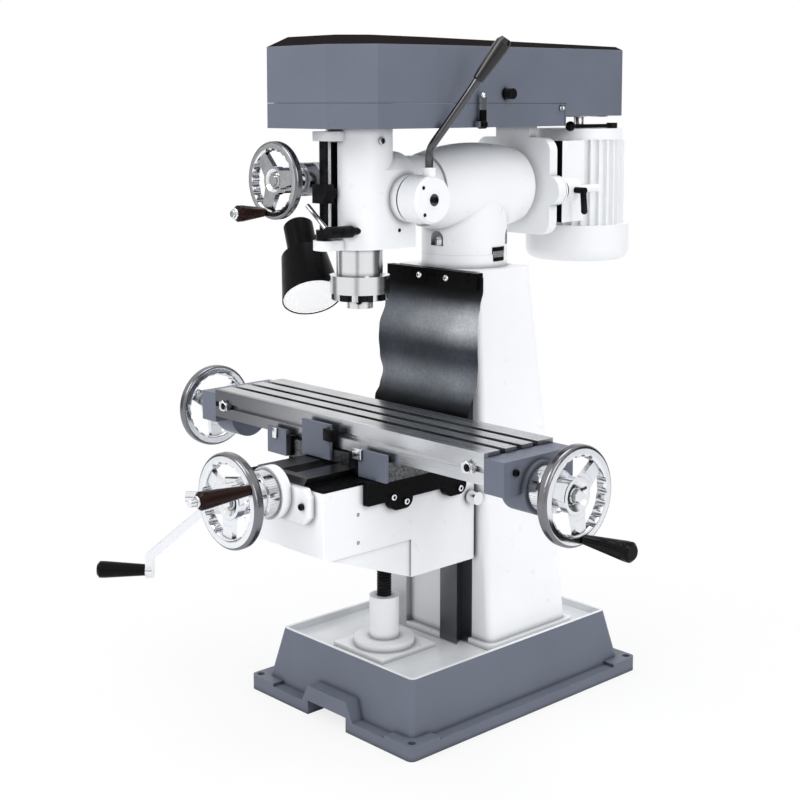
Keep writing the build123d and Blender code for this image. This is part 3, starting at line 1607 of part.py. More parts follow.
# Motor: finned frame with its cast yoke, fan cover, rotor, clamp lever and belt tension lever
yoke_front = slide_boss_end + slide_collar_gap
yoke_back = yoke_front + slide_collar_length
with BuildPart() as motor_frame:
    rod_z(motor_core_radius, motor_bottom, motor_top, 0, motor_y)
    with Locations((0, motor_y, (motor_bottom + motor_top) / 2)):
        with PolarLocations((motor_core_radius + motor_radius) / 2 - 1, motor_fins):
            Box(motor_radius - motor_core_radius + 2, motor_fin_thickness, motor_top - motor_bottom)
    rod_z(motor_flange_radius, motor_top, motor_top + motor_flange_height, 0, motor_y)
    block(
        -slide_bar_x, slide_bar_x, yoke_front, yoke_back,
        slide_bar_z - yoke_half_height, slide_bar_z + yoke_half_height,
    )
    block(
        -yoke_neck_half, yoke_neck_half, yoke_front, motor_y - motor_core_radius + 12,
        slide_bar_z - yoke_half_height, slide_bar_z + yoke_half_height,
    )
    foot_plate_back = yoke_front + foot_plate_thickness
    block(-foot_plate_half, foot_plate_half, yoke_front, foot_plate_back, motor_bottom + foot_lift, motor_top)
    for near, far in (
        (-foot_web_half, foot_web_thickness - foot_web_half), (foot_web_half - foot_web_thickness, foot_web_half)
    ):
        block(near, far, foot_plate_back - 1, foot_web_back, motor_bottom + foot_lift, motor_top)
    for side in (-1, 1):
        rod_y(slide_collar_radius, yoke_front, yoke_back, side * slide_bar_x, slide_bar_z)
        rod_y(
            slide_bar_radius + running_fit, yoke_front - 1, yoke_back + 1, side * slide_bar_x, slide_bar_z,
            Mode.SUBTRACT,
        )
        block(
            side * slide_bar_x - slide_bar_radius - 1, side * slide_bar_x + slide_bar_radius + 1,
            yoke_back, slide_bar_end + 1,
            slide_bar_z - slide_bar_radius - 1, slide_bar_z + slide_bar_radius + 1, Mode.SUBTRACT,
        )
    rod_z(motor_bore, motor_bottom - 1, motor_top - 7, 0, motor_y, Mode.SUBTRACT)
    rod_z(
        motor_shaft_radius + running_fit, motor_bottom, motor_top + motor_flange_height + 1, 0, motor_y,
        Mode.SUBTRACT,
    )
    rod_x(
        lever_screw_radius + running_fit, slide_bar_x + slide_bar_radius + 2,
        slide_bar_x + slide_collar_radius + 1, (yoke_front + yoke_back) / 2, slide_bar_z, Mode.SUBTRACT,
    )
    rod_z(
        lever_screw_radius + running_fit, motor_top + motor_flange_height - 10,
        motor_top + motor_flange_height + 1, tension_x, tension_y, Mode.SUBTRACT,
    )
export(motor_frame, "motor_frame")

with BuildPart() as fan_hollow:
    rod_z(fan_cover_radius - fan_cover_wall, fan_cover_bottom + fan_cover_wall, motor_bottom - fan_cover_wall, 0, motor_y)
    fillet(fan_hollow.edges().sort_by(Axis.Z)[0], fan_cover_corner - fan_cover_wall)
with BuildPart() as fan_cover:
    rod_z(fan_cover_radius, fan_cover_bottom, motor_bottom, 0, motor_y)
    fillet(fan_cover.edges().sort_by(Axis.Z)[0], fan_cover_corner)
    add(fan_hollow.part, mode=Mode.SUBTRACT)
    rod_z(motor_bore, fan_cover_bottom + 30, motor_bottom + 1, 0, motor_y, Mode.SUBTRACT)
    with Locations((0, motor_y, fan_cover_bottom)):
        with PolarLocations(fan_slot_ring, fan_slot_count):
            Box(fan_slot_length, fan_slot_width, 4 * fan_cover_wall, mode=Mode.SUBTRACT)
export(fan_cover, "fan_cover")

shaft_top = pulley_bottom + len(motor_steps) * pulley_step
rotor = turned(
    Plane((0, motor_y, 0)),
    [
        (0, fan_cover_bottom + 12),
        (motor_shaft_radius, fan_cover_bottom + 12),
        (motor_shaft_radius, fan_cover_bottom + 22),
        (fan_radius, fan_cover_bottom + 22),
        (fan_radius, fan_cover_bottom + 46),
        (motor_shaft_radius, fan_cover_bottom + 46),
        (motor_shaft_radius, motor_bottom + 20),
        (motor_bore - rotor_gap, motor_bottom + 20),
        (motor_bore - rotor_gap, motor_top - 25),
        (motor_shaft_radius, motor_top - 25),
        (motor_shaft_radius, shaft_top),
        (0, shaft_top),
    ],
)
export(rotor, "motor_rotor")

with BuildPart() as motor_clamp:
    clamp_x = slide_bar_x + slide_collar_radius + 2 * face_gap
    clamp_y = (yoke_front + yoke_back) / 2
    rod_x(lever_screw_radius, slide_bar_x + slide_bar_radius + 3, clamp_x, clamp_y, slide_bar_z)
    rod_x(clamp_hub_radius, clamp_x, clamp_x + clamp_hub_length, clamp_y, slide_bar_z)
    rod(
        (clamp_x + clamp_hub_length - 5, clamp_y, slide_bar_z),
        (clamp_x + clamp_hub_length - 2, clamp_y, slide_bar_z - clamp_lever_length), clamp_grip_radius,
    )
    with Locations((clamp_x + clamp_hub_length - 2, clamp_y, slide_bar_z - clamp_lever_length)):
        Sphere(clamp_grip_radius + 0.4)
export(motor_clamp, "motor_clamp_lever")

with BuildPart() as tension_lever:
    lever_seat = motor_top + motor_flange_height
    rod_z(lever_screw_radius, lever_seat - 9, lever_seat + face_gap, tension_x, tension_y)
    rod_z(tension_hub_radius, lever_seat + face_gap, lever_seat + 10, tension_x, tension_y)
    rod(
        (tension_x, tension_y, lever_seat + 4.5), (tension_x, tension_y - tension_reach, lever_seat + 4.5), 3.5
    )
    with Locations((tension_x, tension_y - tension_reach, lever_seat + 4.5)):
        Sphere(tension_ball_radius)
export(tension_lever, "tension_lever")


# Belt cover
def inset_points(points, distance):
    """The corners of a convex outline moved inwards by one distance."""
    moved = []
    count = len(points)
    for index in range(count):
        before = points[index - 1]
        here = points[index]
        after = points[(index + 1) % count]
        first = (here[0] - before[0], here[1] - before[1])
        second = (after[0] - here[0], after[1] - here[1])
        first_normal = (-first[1] / hypot(*first), first[0] / hypot(*first))
        second_normal = (-second[1] / hypot(*second), second[0] / hypot(*second))
        share = 1 + first_normal[0] * second_normal[0] + first_normal[1] * second_normal[1]
        moved.append(
            (
                here[0] + distance * (first_normal[0] + second_normal[0]) / share,
                here[1] + distance * (first_normal[1] + second_normal[1]) / share,
            )
        )
    return moved


def cover_outline(inset):
    """The cover seen from above, drawn anticlockwise, with its two cut corners at the tail."""
    right = [
        (cover_nose_half, cover_front),
        (cover_half, cover_shoulder),
        (cover_half, cover_taper),
        (cover_tail_half, cover_tail),
    ]
    left = [(-x, y) for x, y in reversed(right)]
    corners = inset_points(right + left, inset)
    cut = cover_tail_cut - 0.4 * inset
    tail_right, tail_left = corners[3], corners[4]
    cut_corners = [
        (tail_right[0], tail_right[1] - cut),
        (tail_right[0] - cut, tail_right[1]),
        (tail_left[0] + cut, tail_left[1]),
        (tail_left[0], tail_left[1] - cut),
    ]
    return corners[:3] + cut_corners + corners[5:]


def cover_solid(inset, bottom, shoulder, top):
    """The filled cover: walls that rise a little to the tail, and sloping facets up to a level roof."""
    corners = cover_outline(inset)
    climb = lid_wall_rise / (cover_tail - cover_front)
    with BuildPart() as form:
        with BuildSketch(Plane.XY.offset(bottom)):
            with BuildLine():
                Polyline(*corners, close=True)
            make_face()
        extrude(amount=top - bottom)
        for first, second in zip(corners, corners[1:] + corners[:1]):
            along = Vector(second[0] - first[0], second[1] - first[1], 0).normalized()
            inward = Vector(-along.Y, along.X, 0)
            edge_way = along + Vector(0, 0, climb * along.Y)
            facet_way = inward + Vector(0, 0, climb * inward.Y + lid_slope)
            edge_point = (first[0], first[1], shoulder + climb * (first[1] - cover_front))
            facet = Plane(origin=edge_point, x_dir=edge_way, z_dir=edge_way.cross(facet_way))
            split(bisect_by=facet, keep=Keep.BOTTOM)
    return form


def cover_half_at(y):
    """Half the cover's width on its tapering sides."""
    share = (y - cover_taper) / (cover_tail - cover_taper)
    return cover_half + (cover_tail_half - cover_half) * max(share, 0)


pan_top = pan_bottom + pan_height
latch_x = cover_half_at(latch_y) + latch_standoff
hinge_x = -cover_half - hinge_barrel_radius - 0.5
hinge_ends = (hinge_y - hinge_length / 2, hinge_y + hinge_length / 2)
with BuildPart() as belt_pan:
    with BuildSketch(Plane.XY.offset(pan_bottom)):
        with BuildLine():
            Polyline(*cover_outline(0), close=True)
        make_face()
    extrude(amount=pan_height)
    with BuildSketch(Plane.XY.offset(pan_bottom + cover_wall)):
        with BuildLine():
            Polyline(*cover_outline(cover_wall), close=True)
        make_face()
    extrude(amount=pan_height, mode=Mode.SUBTRACT)
    block(-cover_half, cover_half, pan_back, cover_tail + 1, pan_bottom - 1, pan_top + 1, Mode.SUBTRACT)
    block(
        -cover_half_at(pan_back), cover_half_at(pan_back), pan_back - cover_wall, pan_back,
        pan_bottom, pan_top,
    )
    rod_z(drive_sleeve_radius + 2, pan_bottom - 1, pan_bottom + 2 * cover_wall, 0, spindle_y, Mode.SUBTRACT)
    rod_z(idler_post_radius, pan_bottom, pulley_bottom - face_gap, 0, idler_y)
    rod_z(idler_pin_radius, pan_bottom, pulley_bottom + len(idler_steps) * pulley_step + 4, 0, idler_y)
    rod_y(hinge_pin_radius, hinge_ends[0] - 15, hinge_ends[1] + 15, hinge_x, pan_top)
    for foot, tip in ((hinge_ends[0] - 15, hinge_ends[0] - 0.4), (hinge_ends[1] + 0.4, hinge_ends[1] + 15)):
        rod_y(hinge_barrel_radius, foot, tip, hinge_x, pan_top)
        block(hinge_x, -cover_half_at(tip) + 1, foot, tip, pan_top - hinge_barrel_radius, pan_top - 1)
    rod_y(
        latch_pin_radius, latch_y - latch_half - 6, latch_y + latch_half + 6, latch_x, latch_z
    )
    for foot in (latch_y - latch_half - 6, latch_y + latch_half + 0.5):
        block(cover_half_at(foot) - cover_wall, latch_x + latch_pin_radius, foot, foot + 5.5, latch_z - 5, latch_z + 5)
export(belt_pan, "belt_pan")

with BuildPart() as latch_lever:
    rod_y(latch_pin_radius + 3.5, latch_y - latch_half, latch_y + latch_half, latch_x, latch_z)
    block(
        latch_x - 0.5, latch_x + 4, latch_y - latch_half, latch_y + latch_half, latch_z, latch_z + latch_length
    )
    rod_y(
        latch_pin_radius + running_fit, latch_y - latch_half - 1, latch_y + latch_half + 1, latch_x, latch_z,
        Mode.SUBTRACT,
    )
export(latch_lever, "latch_lever")

lid_bottom = pan_top + lid_gap
lid_form = cover_solid(0, lid_skirt_bottom, lid_shoulder, lid_top)
lid_hollow = cover_solid(cover_wall, lid_skirt_bottom - 1, lid_shoulder - 2, lid_top - cover_wall)
with BuildPart() as belt_lid:
    add(lid_form.part)
    add(lid_hollow.part, mode=Mode.SUBTRACT)
    block(
        -2 * cover_half, 2 * cover_half, cover_front - 1, pan_back + lid_gap, lid_skirt_bottom - 1, lid_bottom,
        Mode.SUBTRACT,
    )
    rod_y(hinge_barrel_radius, *hinge_ends, hinge_x, pan_top)
    block(hinge_x, -cover_half + 1, *hinge_ends, pan_top + 1, pan_top + hinge_barrel_radius)
    rod_y(
        hinge_pin_radius + running_fit, hinge_ends[0] - 1, hinge_ends[1] + 1, hinge_x, pan_top, Mode.SUBTRACT
    )
    rod_x(knob_radius - 3, cover_half_at(knob_y) - 2, cover_half_at(knob_y) + 5, knob_y, knob_z)
    rod_x(knob_radius, cover_half_at(knob_y) + 5, cover_half_at(knob_y) + knob_length, knob_y, knob_z)
export(belt_lid, "belt_lid")

# Way cover: a rubber sheet that hangs from its clamp and bellies over the dovetail way
sheet_top = clamp_bottom + clamp_height - 6
sheet_path = [(sheet_back, clamp_bottom)]
sheet_fall = clamp_bottom - knee_top - sheet_foot_straight
for reach, share in sheet_folds:
    sheet_path.append((sheet_back - reach, clamp_bottom - share * sheet_fall))
sheet_path.append((sheet_foot, knee_top + sheet_foot_straight))
sheet_path.append((sheet_foot, knee_top + 2))
front_path = [(y - sheet_thickness, z) for y, z in sheet_path]
with BuildPart() as way_cover:
    with BuildSketch(Plane.YZ.offset(sheet_left)):
        with BuildLine():
            back = Spline(*sheet_path, tangents=((0, -1), (0, -1)))
            front = Spline(*front_path, tangents=((0, -1), (0, -1)))
            Line(back @ 1, front @ 1)
            Polyline(back @ 0, (sheet_back, sheet_top), (front_path[0][0], sheet_top), front @ 0)
        make_face()
    extrude(amount=sheet_right - sheet_left)
export(way_cover, "way_cover")

with BuildPart() as way_cover_clamp:
    block(
        sheet_left, clamp_right, sheet_back - sheet_thickness - clamp_thickness, column_front,
        clamp_bottom, clamp_bottom + clamp_height,
    )
    block(
        sheet_left - 1, sheet_right + 1, sheet_back - sheet_thickness - clamp_ease, sheet_back + clamp_ease,
        clamp_bottom - 1, sheet_top, Mode.SUBTRACT,
    )
export(way_cover_clamp, "way_cover_clamp")

# Work lamp: an arm from the head's left side, and the lamp on a tilting pin at its end
lamp_way = Vector(
    sin(radians(lamp_tilt)) * cos(radians(lamp_turn)),
    sin(radians(lamp_tilt)) * sin(radians(lamp_turn)),
    -cos(radians(lamp_tilt)),
)
lamp_side = Vector(-sin(radians(lamp_turn)), cos(radians(lamp_turn)), 0)
lamp_pivot = Vector(*lamp_place) + lamp_way * lamp_pivot_depth
lamp_body = turned(
    Plane(origin=lamp_place, x_dir=lamp_side, z_dir=lamp_way),
    [
        (0, 0),
        (lamp_can_radius - 3, 0),
        (lamp_can_radius, 3),
        (lamp_can_radius, lamp_can_length),
        (lamp_neck_radius, lamp_can_length + 8),
        (lamp_shade_radius, lamp_can_length + lamp_shade_length),
        (lamp_shade_radius - lamp_wall, lamp_can_length + lamp_shade_length),
        (lamp_neck_radius - lamp_wall, lamp_can_length + 9),
        (lamp_can_radius - lamp_wall, lamp_can_length + 1),
        (lamp_can_radius - lamp_wall, lamp_wall),
        (0, lamp_wall),
    ],
)
lamp_flare = (lamp_shade_radius - lamp_neck_radius) / (lamp_shade_length - 9)
lens_back_radius = lamp_shade_radius - lamp_wall - 6 * lamp_flare
lens_front_radius = lamp_shade_radius - lamp_wall - 2 * lamp_flare
lamp_lens = turned(
    Plane(origin=lamp_place, x_dir=lamp_side, z_dir=lamp_way),
    [
        (0, lamp_can_length + lamp_shade_length - 6),
        (lens_back_radius, lamp_can_length + lamp_shade_length - 6),
        (lens_front_radius, lamp_can_length + lamp_shade_length - 2),
        (0, lamp_can_length + lamp_shade_length - 2),
    ],
)
export_group([lamp_body, lamp_lens], "lamp_shade")

joint_near = lamp_pivot + lamp_side * (lamp_can_radius + 0.5)
joint_far = lamp_pivot + lamp_side * (lamp_can_radius + 14)
joint_mid = lamp_pivot + lamp_side * (lamp_can_radius + 8)
with BuildPart() as lamp_arm:
    rod(tuple(joint_near), tuple(joint_far), 8)
    rod(tuple(joint_mid), (-head_half + 3, lamp_arm_y, lamp_arm_z), 5)
    block(
        -head_half - 12, -head_half, lamp_arm_y - 12, lamp_arm_y + 10, lamp_arm_z - 12, lamp_arm_z + 12
    )
    block(
        -head_half, 0, lamp_arm_y - 30, lamp_arm_y + 30, lamp_arm_z - 30, lamp_arm_z + 30, Mode.SUBTRACT
    )
export(lamp_arm, "lamp_arm")
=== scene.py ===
import math

import bpy
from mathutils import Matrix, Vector


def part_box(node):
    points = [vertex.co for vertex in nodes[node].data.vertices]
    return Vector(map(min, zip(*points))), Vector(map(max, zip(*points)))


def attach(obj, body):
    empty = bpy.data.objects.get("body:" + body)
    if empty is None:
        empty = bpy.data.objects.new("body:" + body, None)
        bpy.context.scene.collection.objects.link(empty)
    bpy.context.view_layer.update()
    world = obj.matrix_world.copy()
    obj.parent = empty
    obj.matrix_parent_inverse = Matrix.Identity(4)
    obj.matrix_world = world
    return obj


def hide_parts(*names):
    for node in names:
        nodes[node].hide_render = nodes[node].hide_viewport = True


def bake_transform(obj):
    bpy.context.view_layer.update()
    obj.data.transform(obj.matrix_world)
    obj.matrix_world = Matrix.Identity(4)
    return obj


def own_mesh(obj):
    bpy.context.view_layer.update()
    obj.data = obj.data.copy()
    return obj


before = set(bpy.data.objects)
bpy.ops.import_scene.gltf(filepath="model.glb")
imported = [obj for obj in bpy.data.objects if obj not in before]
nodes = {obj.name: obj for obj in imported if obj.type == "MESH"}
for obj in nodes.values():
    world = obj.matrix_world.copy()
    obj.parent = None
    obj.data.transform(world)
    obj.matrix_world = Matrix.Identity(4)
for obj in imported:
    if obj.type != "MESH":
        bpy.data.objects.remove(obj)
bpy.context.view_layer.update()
bpy.ops.object.select_all(action="DESELECT")

# Colours of the finishes, as linear values
WHITE = (0.86, 0.87, 0.885)
SLATE = (0.138, 0.152, 0.194)
CHARCOAL = (0.016, 0.0135, 0.0135)
BLACK = (0.0045, 0.0045, 0.005)
BROWN = (0.017, 0.0075, 0.006)
STEEL = (0.62, 0.63, 0.65)
CHROME = (0.8, 0.81, 0.83)
DARK_STEEL = (0.05, 0.05, 0.055)

# Directions, and a point on each axis that a finish or a piece goes round, in metres
right, left, front, up, down = (1, 0, 0), (-1, 0, 0), (0, -1, 0), (0, 0, 1), (0, 0, -1)
spindle_axis = (0, -0.202, 0)
turret_axis = (0, 0.04, 0)
cross_screw_axis = (0, 0, 0.409)
feed_screw_axis = (0, -0.178, 0.451)
fine_feed_axis = (-0.052, 0, 0.891)


# Finishes
def finish(name, colour, roughness, metallic=0.0, gloss=0.5):
    """A material whose plain values stand on its shader's sockets."""
    material = bpy.data.materials.new(name)
    material.use_nodes = True
    shader = material.node_tree.nodes["Principled BSDF"]
    shader.inputs["Base Color"].default_value = (*colour, 1)
    shader.inputs["Roughness"].default_value = roughness
    shader.inputs["Metallic"].default_value = metallic
    shader.inputs["Specular IOR Level"].default_value = gloss
    return material


def shader_input(material, name):
    return material.node_tree.nodes["Principled BSDF"].inputs[name]


def add_node(material, kind, **settings):
    made = material.node_tree.nodes.new(kind)
    for name, value in settings.items():
        setattr(made, name, value)
    return made


def wire(material, source, target):
    material.node_tree.links.new(source, target)


def place_on(material):
    """The point's own place in the machine's frame."""
    return add_node(material, "ShaderNodeTexCoord").outputs["Object"]


def grain(material, scale, stretch=(1, 1, 1), detail=3.0):
    """Noise over the machine's frame, drawn out along an axis where stretch is small."""
    mapping = add_node(material, "ShaderNodeMapping")
    mapping.inputs["Scale"].default_value = stretch
    noise = add_node(material, "ShaderNodeTexNoise")
    noise.inputs["Scale"].default_value = scale
    noise.inputs["Detail"].default_value = detail
    wire(material, place_on(material), mapping.inputs["Vector"])
    wire(material, mapping.outputs["Vector"], noise.inputs["Vector"])
    return noise.outputs["Fac"]


def spread(material, factor, low, high):
    """The middle of a noise, spread over a range of values."""
    span = add_node(material, "ShaderNodeMapRange")
    span.inputs["From Min"].default_value = 0.3
    span.inputs["From Max"].default_value = 0.7
    span.inputs["To Min"].default_value = low
    span.inputs["To Max"].default_value = high
    wire(material, factor, span.inputs["Value"])
    return span.outputs["Result"]


def mix_colour(material, factor, first, second):
    """A mix of two colours; each is a socket or three numbers."""
    mix = add_node(material, "ShaderNodeMix", data_type="RGBA")
    wire(material, factor, mix.inputs[0])
    for socket, colour in ((mix.inputs[6], first), (mix.inputs[7], second)):
        if isinstance(colour, tuple):
            socket.default_value = (*colour, 1)
        else:
            wire(material, colour, socket)
    return mix.outputs[2]


def mix_value(material, factor, first, second):
    """A mix of two values; each is a socket or a number."""
    mix = add_node(material, "ShaderNodeMix", data_type="FLOAT")
    wire(material, factor, mix.inputs[0])
    for socket, value in ((mix.inputs[2], first), (mix.inputs[3], second)):
        if isinstance(value, float):
            socket.default_value = value
        else:
            wire(material, value, socket)
    return mix.outputs[0]


def bump(material, height, depth):
    """Adds a relief of that depth, in metres, over any relief the finish has."""
    relief = add_node(material, "ShaderNodeBump")
    relief.inputs["Strength"].default_value = 1
    relief.inputs["Distance"].default_value = depth
    normal = shader_input(material, "Normal")
    if normal.is_linked:
        wire(material, normal.links[0].from_socket, relief.inputs["Normal"])
    wire(material, height, relief.inputs["Height"])
    wire(material, relief.outputs["Normal"], normal)


def colour_from(material, socket):
    wire(material, socket, shader_input(material, "Base Color"))


def roughness_from(material, socket):
    wire(material, socket, shader_input(material, "Roughness"))


def paint_corner_shade(material, shade, reach):
    """Paints shade into the inner corners, darkening them by ambient occlusion."""
    colour = shader_input(material, "Base Color")
    corner = add_node(material, "ShaderNodeAmbientOcclusion", samples=8)
    corner.inputs["Distance"].default_value = reach
    amount = add_node(material, "ShaderNodeMapRange")
    amount.inputs["From Min"].default_value = 0.35
    amount.inputs["From Max"].default_value = 0.95
    amount.inputs["To Min"].default_value = 1
    amount.inputs["To Max"].default_value = 0
    wire(material, corner.outputs["AO"], amount.inputs["Value"])
    plain = colour.links[0].from_socket if colour.is_linked else tuple(colour.default_value)[:3]
    colour_from(material, mix_colour(material, amount.outputs["Result"], plain, shade))


def past(material, direction, distance):
    """1 where a point lies further than distance along direction, and 0 elsewhere."""
    along = add_node(material, "ShaderNodeVectorMath", operation="DOT_PRODUCT")
    along.inputs[1].default_value = direction
    wire(material, place_on(material), along.inputs[0])
    test = add_node(material, "ShaderNodeMath", operation="GREATER_THAN")
    test.inputs[1].default_value = distance
    wire(material, along.outputs["Value"], test.inputs[0])
    return test.outputs["Value"]


def ramp(material, direction, start, end):
    """Rises smoothly from 0 to 1 between two distances along direction."""
    along = add_node(material, "ShaderNodeVectorMath", operation="DOT_PRODUCT")
    along.inputs[1].default_value = direction
    wire(material, place_on(material), along.inputs[0])
    rise = add_node(material, "ShaderNodeMapRange", interpolation_type="SMOOTHSTEP")
    rise.inputs["From Min"].default_value = start
    rise.inputs["From Max"].default_value = end
    wire(material, along.outputs["Value"], rise.inputs["Value"])
    return rise.outputs["Result"]


def both(material, first, second):
    product = add_node(material, "ShaderNodeMath", operation="MULTIPLY")
    wire(material, first, product.inputs[0])
    wire(material, second, product.inputs[1])
    return product.outputs["Value"]


def within(material, low, high):
    """1 inside a box of the machine's frame, and 0 outside it."""
    found = None
    for axis in range(3):
        for sign, limit in ((1, low[axis]), (-1, high[axis])):
            direction = [0, 0, 0]
            direction[axis] = sign
            test = past(material, direction, sign * limit)
            found = test if found is None else both(material, found, test)
    return found


def either(material, first, second):
    larger = add_node(material, "ShaderNodeMath", operation="MAXIMUM")
    wire(material, first, larger.inputs[0])
    wire(material, second, larger.inputs[1])
    return larger.outputs["Value"]


def off_axis(material, point, way):
    """How far a point lies from a line through a point of the machine's frame; way has length 1."""
    offset = add_node(material, "ShaderNodeVectorMath", operation="SUBTRACT")
    offset.inputs[1].default_value = point
    wire(material, place_on(material), offset.inputs[0])
    across = add_node(material, "ShaderNodeVectorMath", operation="CROSS_PRODUCT")
    across.inputs[1].default_value = way
    wire(material, offset.outputs["Vector"], across.inputs[0])
    length = add_node(material, "ShaderNodeVectorMath", operation="LENGTH")
    wire(material, across.outputs["Vector"], length.inputs[0])
    return length.outputs["Value"]


def compare(material, operation, value, limit):
    test = add_node(material, "ShaderNodeMath", operation=operation)
    test.inputs[1].default_value = limit
    wire(material, value, test.inputs[0])
    return test.outputs["Value"]


def graduations(material, point, axis, count, share):
    """1 on that many even lines round an axis, each as wide as its share of the spacing."""
    offset = add_node(material, "ShaderNodeVectorMath", operation="SUBTRACT")
    offset.inputs[1].default_value = point
    wire(material, place_on(material), offset.inputs[0])
    parts = add_node(material, "ShaderNodeSeparateXYZ")
    wire(material, offset.outputs["Vector"], parts.inputs["Vector"])
    angle = add_node(material, "ShaderNodeMath", operation="ARCTAN2")
    wire(material, parts.outputs[(axis + 1) % 3], angle.inputs[0])
    wire(material, parts.outputs[(axis + 2) % 3], angle.inputs[1])
    steps = add_node(material, "ShaderNodeMath", operation="MULTIPLY")
    steps.inputs[1].default_value = count / (2 * math.pi)
    wire(material, angle.outputs["Value"], steps.inputs[0])
    part = add_node(material, "ShaderNodeMath", operation="FRACT")
    wire(material, steps.outputs["Value"], part.inputs[0])
    return compare(material, "LESS_THAN", part.outputs["Value"], share)


def refinish(material, where, colour, roughness, metallic, gloss=None):
    """Gives part of a piece another finish."""
    changes = [("Base Color", colour), ("Roughness", roughness), ("Metallic", metallic)]
    if gloss is not None:
        changes.append(("Specular IOR Level", gloss))
    for name, value in changes:
        socket = shader_input(material, name)
        if socket.is_linked:
            old = socket.links[0].from_socket
        elif name == "Base Color":
            old = tuple(socket.default_value)[:3]
        else:
            old = socket.default_value
        if name == "Base Color":
            wire(material, mix_colour(material, where, old, value), socket)
        else:
            wire(material, mix_value(material, where, old, value), socket)


def white_enamel(name, shaded_corners=True):
    """Sprayed white enamel over a filled casting; the last argument says whether painted shade darkens its
    inner corners.
    """
    material = finish(name, WHITE, 0.34)
    clouds = spread(material, grain(material, 7, detail=2), 0, 1)
    colour_from(material, mix_colour(material, clouds, (0.9, 0.905, 0.915), (0.935, 0.938, 0.944)))
    roughness_from(material, spread(material, grain(material, 45), 0.27, 0.41))
    bump(material, grain(material, 30, detail=1), 0.0012)
    bump(material, grain(material, 480, detail=1), 0.00012)
    if shaded_corners:
        paint_corner_shade(material, (0.16, 0.16, 0.17), 0.012)
    return material


def slate_enamel(name):
    """Satin slate-grey enamel."""
    material = finish(name, SLATE, 0.42, 0.0, 0.3)
    clouds = spread(material, grain(material, 5, detail=2), 0, 1)
    colour_from(material, mix_colour(material, clouds, (0.128, 0.141, 0.181), (0.148, 0.163, 0.207)))
    roughness_from(material, spread(material, grain(material, 60), 0.36, 0.5))
    bump(material, grain(material, 420, detail=1), 0.00016)
    paint_corner_shade(material, (0.03, 0.03, 0.035), 0.01)
    return material


def black_enamel(name):
    material = finish(name, BLACK, 0.3, 0.0, 0.04)
    roughness_from(material, spread(material, grain(material, 70), 0.22, 0.38))
    bump(material, grain(material, 500, detail=1), 0.00012)
    return material


def black_oxide(name):
    """Oiled, blackened steel."""
    material = finish(name, DARK_STEEL, 0.3, 0.5, 0.04)
    patches = spread(material, grain(material, 55), 0, 1)
    colour_from(material, mix_colour(material, patches, (0.006, 0.006, 0.0065), (0.018, 0.018, 0.02)))
    roughness_from(material, spread(material, grain(material, 160), 0.24, 0.42))
    return material


def ground_steel(name, along):
    """Surface-ground steel, with its grinding lines along one axis."""
    material = finish(name, STEEL, 0.24, 1.0)
    stretch = [1, 1, 1]
    stretch[along] = 0.012
    lines = grain(material, 900, stretch, 2)
    patches = spread(material, grain(material, 16), 0, 1)
    colour_from(material, mix_colour(material, patches, (0.4, 0.405, 0.42), (0.58, 0.585, 0.6)))
    roughness_from(material, spread(material, lines, 0.16, 0.34))
    bump(material, lines, 0.00006)
    paint_corner_shade(material, (0.05, 0.05, 0.05), 0.012)
    return material


def turned_steel(name, axis):
    """Steel turned in a lathe, with fine rings round one axis."""
    material = finish(name, (0.74, 0.75, 0.77), 0.16, 1.0)
    stretch = [0.02, 0.02, 0.02]
    stretch[axis] = 1
    rings = grain(material, 700, stretch, 1)
    roughness_from(material, spread(material, rings, 0.13, 0.2))
    bump(material, rings, 0.000004)
    paint_corner_shade(material, (0.06, 0.06, 0.06), 0.008)
    return material


def chrome(name, colour=CHROME):
    """Polished plate, with light handling marks."""
    material = finish(name, colour, 0.1, 1.0)
    roughness_from(material, spread(material, grain(material, 90), 0.06, 0.17))
    bump(material, grain(material, 60, detail=2), 0.0001)
    paint_corner_shade(material, (0.05, 0.05, 0.053), 0.007)
    return material


def moulded(name, colour):
    """Gloss moulded plastic."""
    material = finish(name, colour, 0.12, 0.0, 0.09)
    roughness_from(material, spread(material, grain(material, 120), 0.08, 0.16))
    bump(material, grain(material, 220, detail=1), 0.00008)
    return material


def scraped_iron(name):
    material = finish(name, (0.12, 0.125, 0.13), 0.36, 1.0)
    flakes = spread(material, grain(material, 240, detail=1), 0, 1)
    colour_from(material, mix_colour(material, flakes, (0.06, 0.065, 0.065), (0.17, 0.175, 0.18)))
    roughness_from(material, spread(material, grain(material, 150), 0.28, 0.46))
    bump(material, grain(material, 240, detail=1), 0.00012)
    paint_corner_shade(material, (0.03, 0.03, 0.03), 0.01)
    return material


def machined(name, colour):
    material = finish(name, colour, 0.28, 1.0)
    roughness_from(material, spread(material, grain(material, 700, (1, 1, 0.1)), 0.2, 0.38))
    bump(material, grain(material, 700, (1, 1, 0.1)), 0.00006)
    return material


def sheet_rubber(name):
    """Soft black rubber sheet with a low sheen and a little dust."""
    material = finish(name, BLACK, 0.45, 0.0, 0.08)
    dust = spread(material, grain(material, 22, detail=5), 0, 1)
    colour_from(material, mix_colour(material, dust, (0.003, 0.003, 0.0035), (0.007, 0.007, 0.008)))
    roughness_from(material, spread(material, grain(material, 35), 0.33, 0.5))
    bump(material, grain(material, 900, detail=1), 0.0001)
    return material


def dress(material, *names):
    for name in names:
        slots = nodes[name].data.materials
        slots.clear()
        slots.append(material)


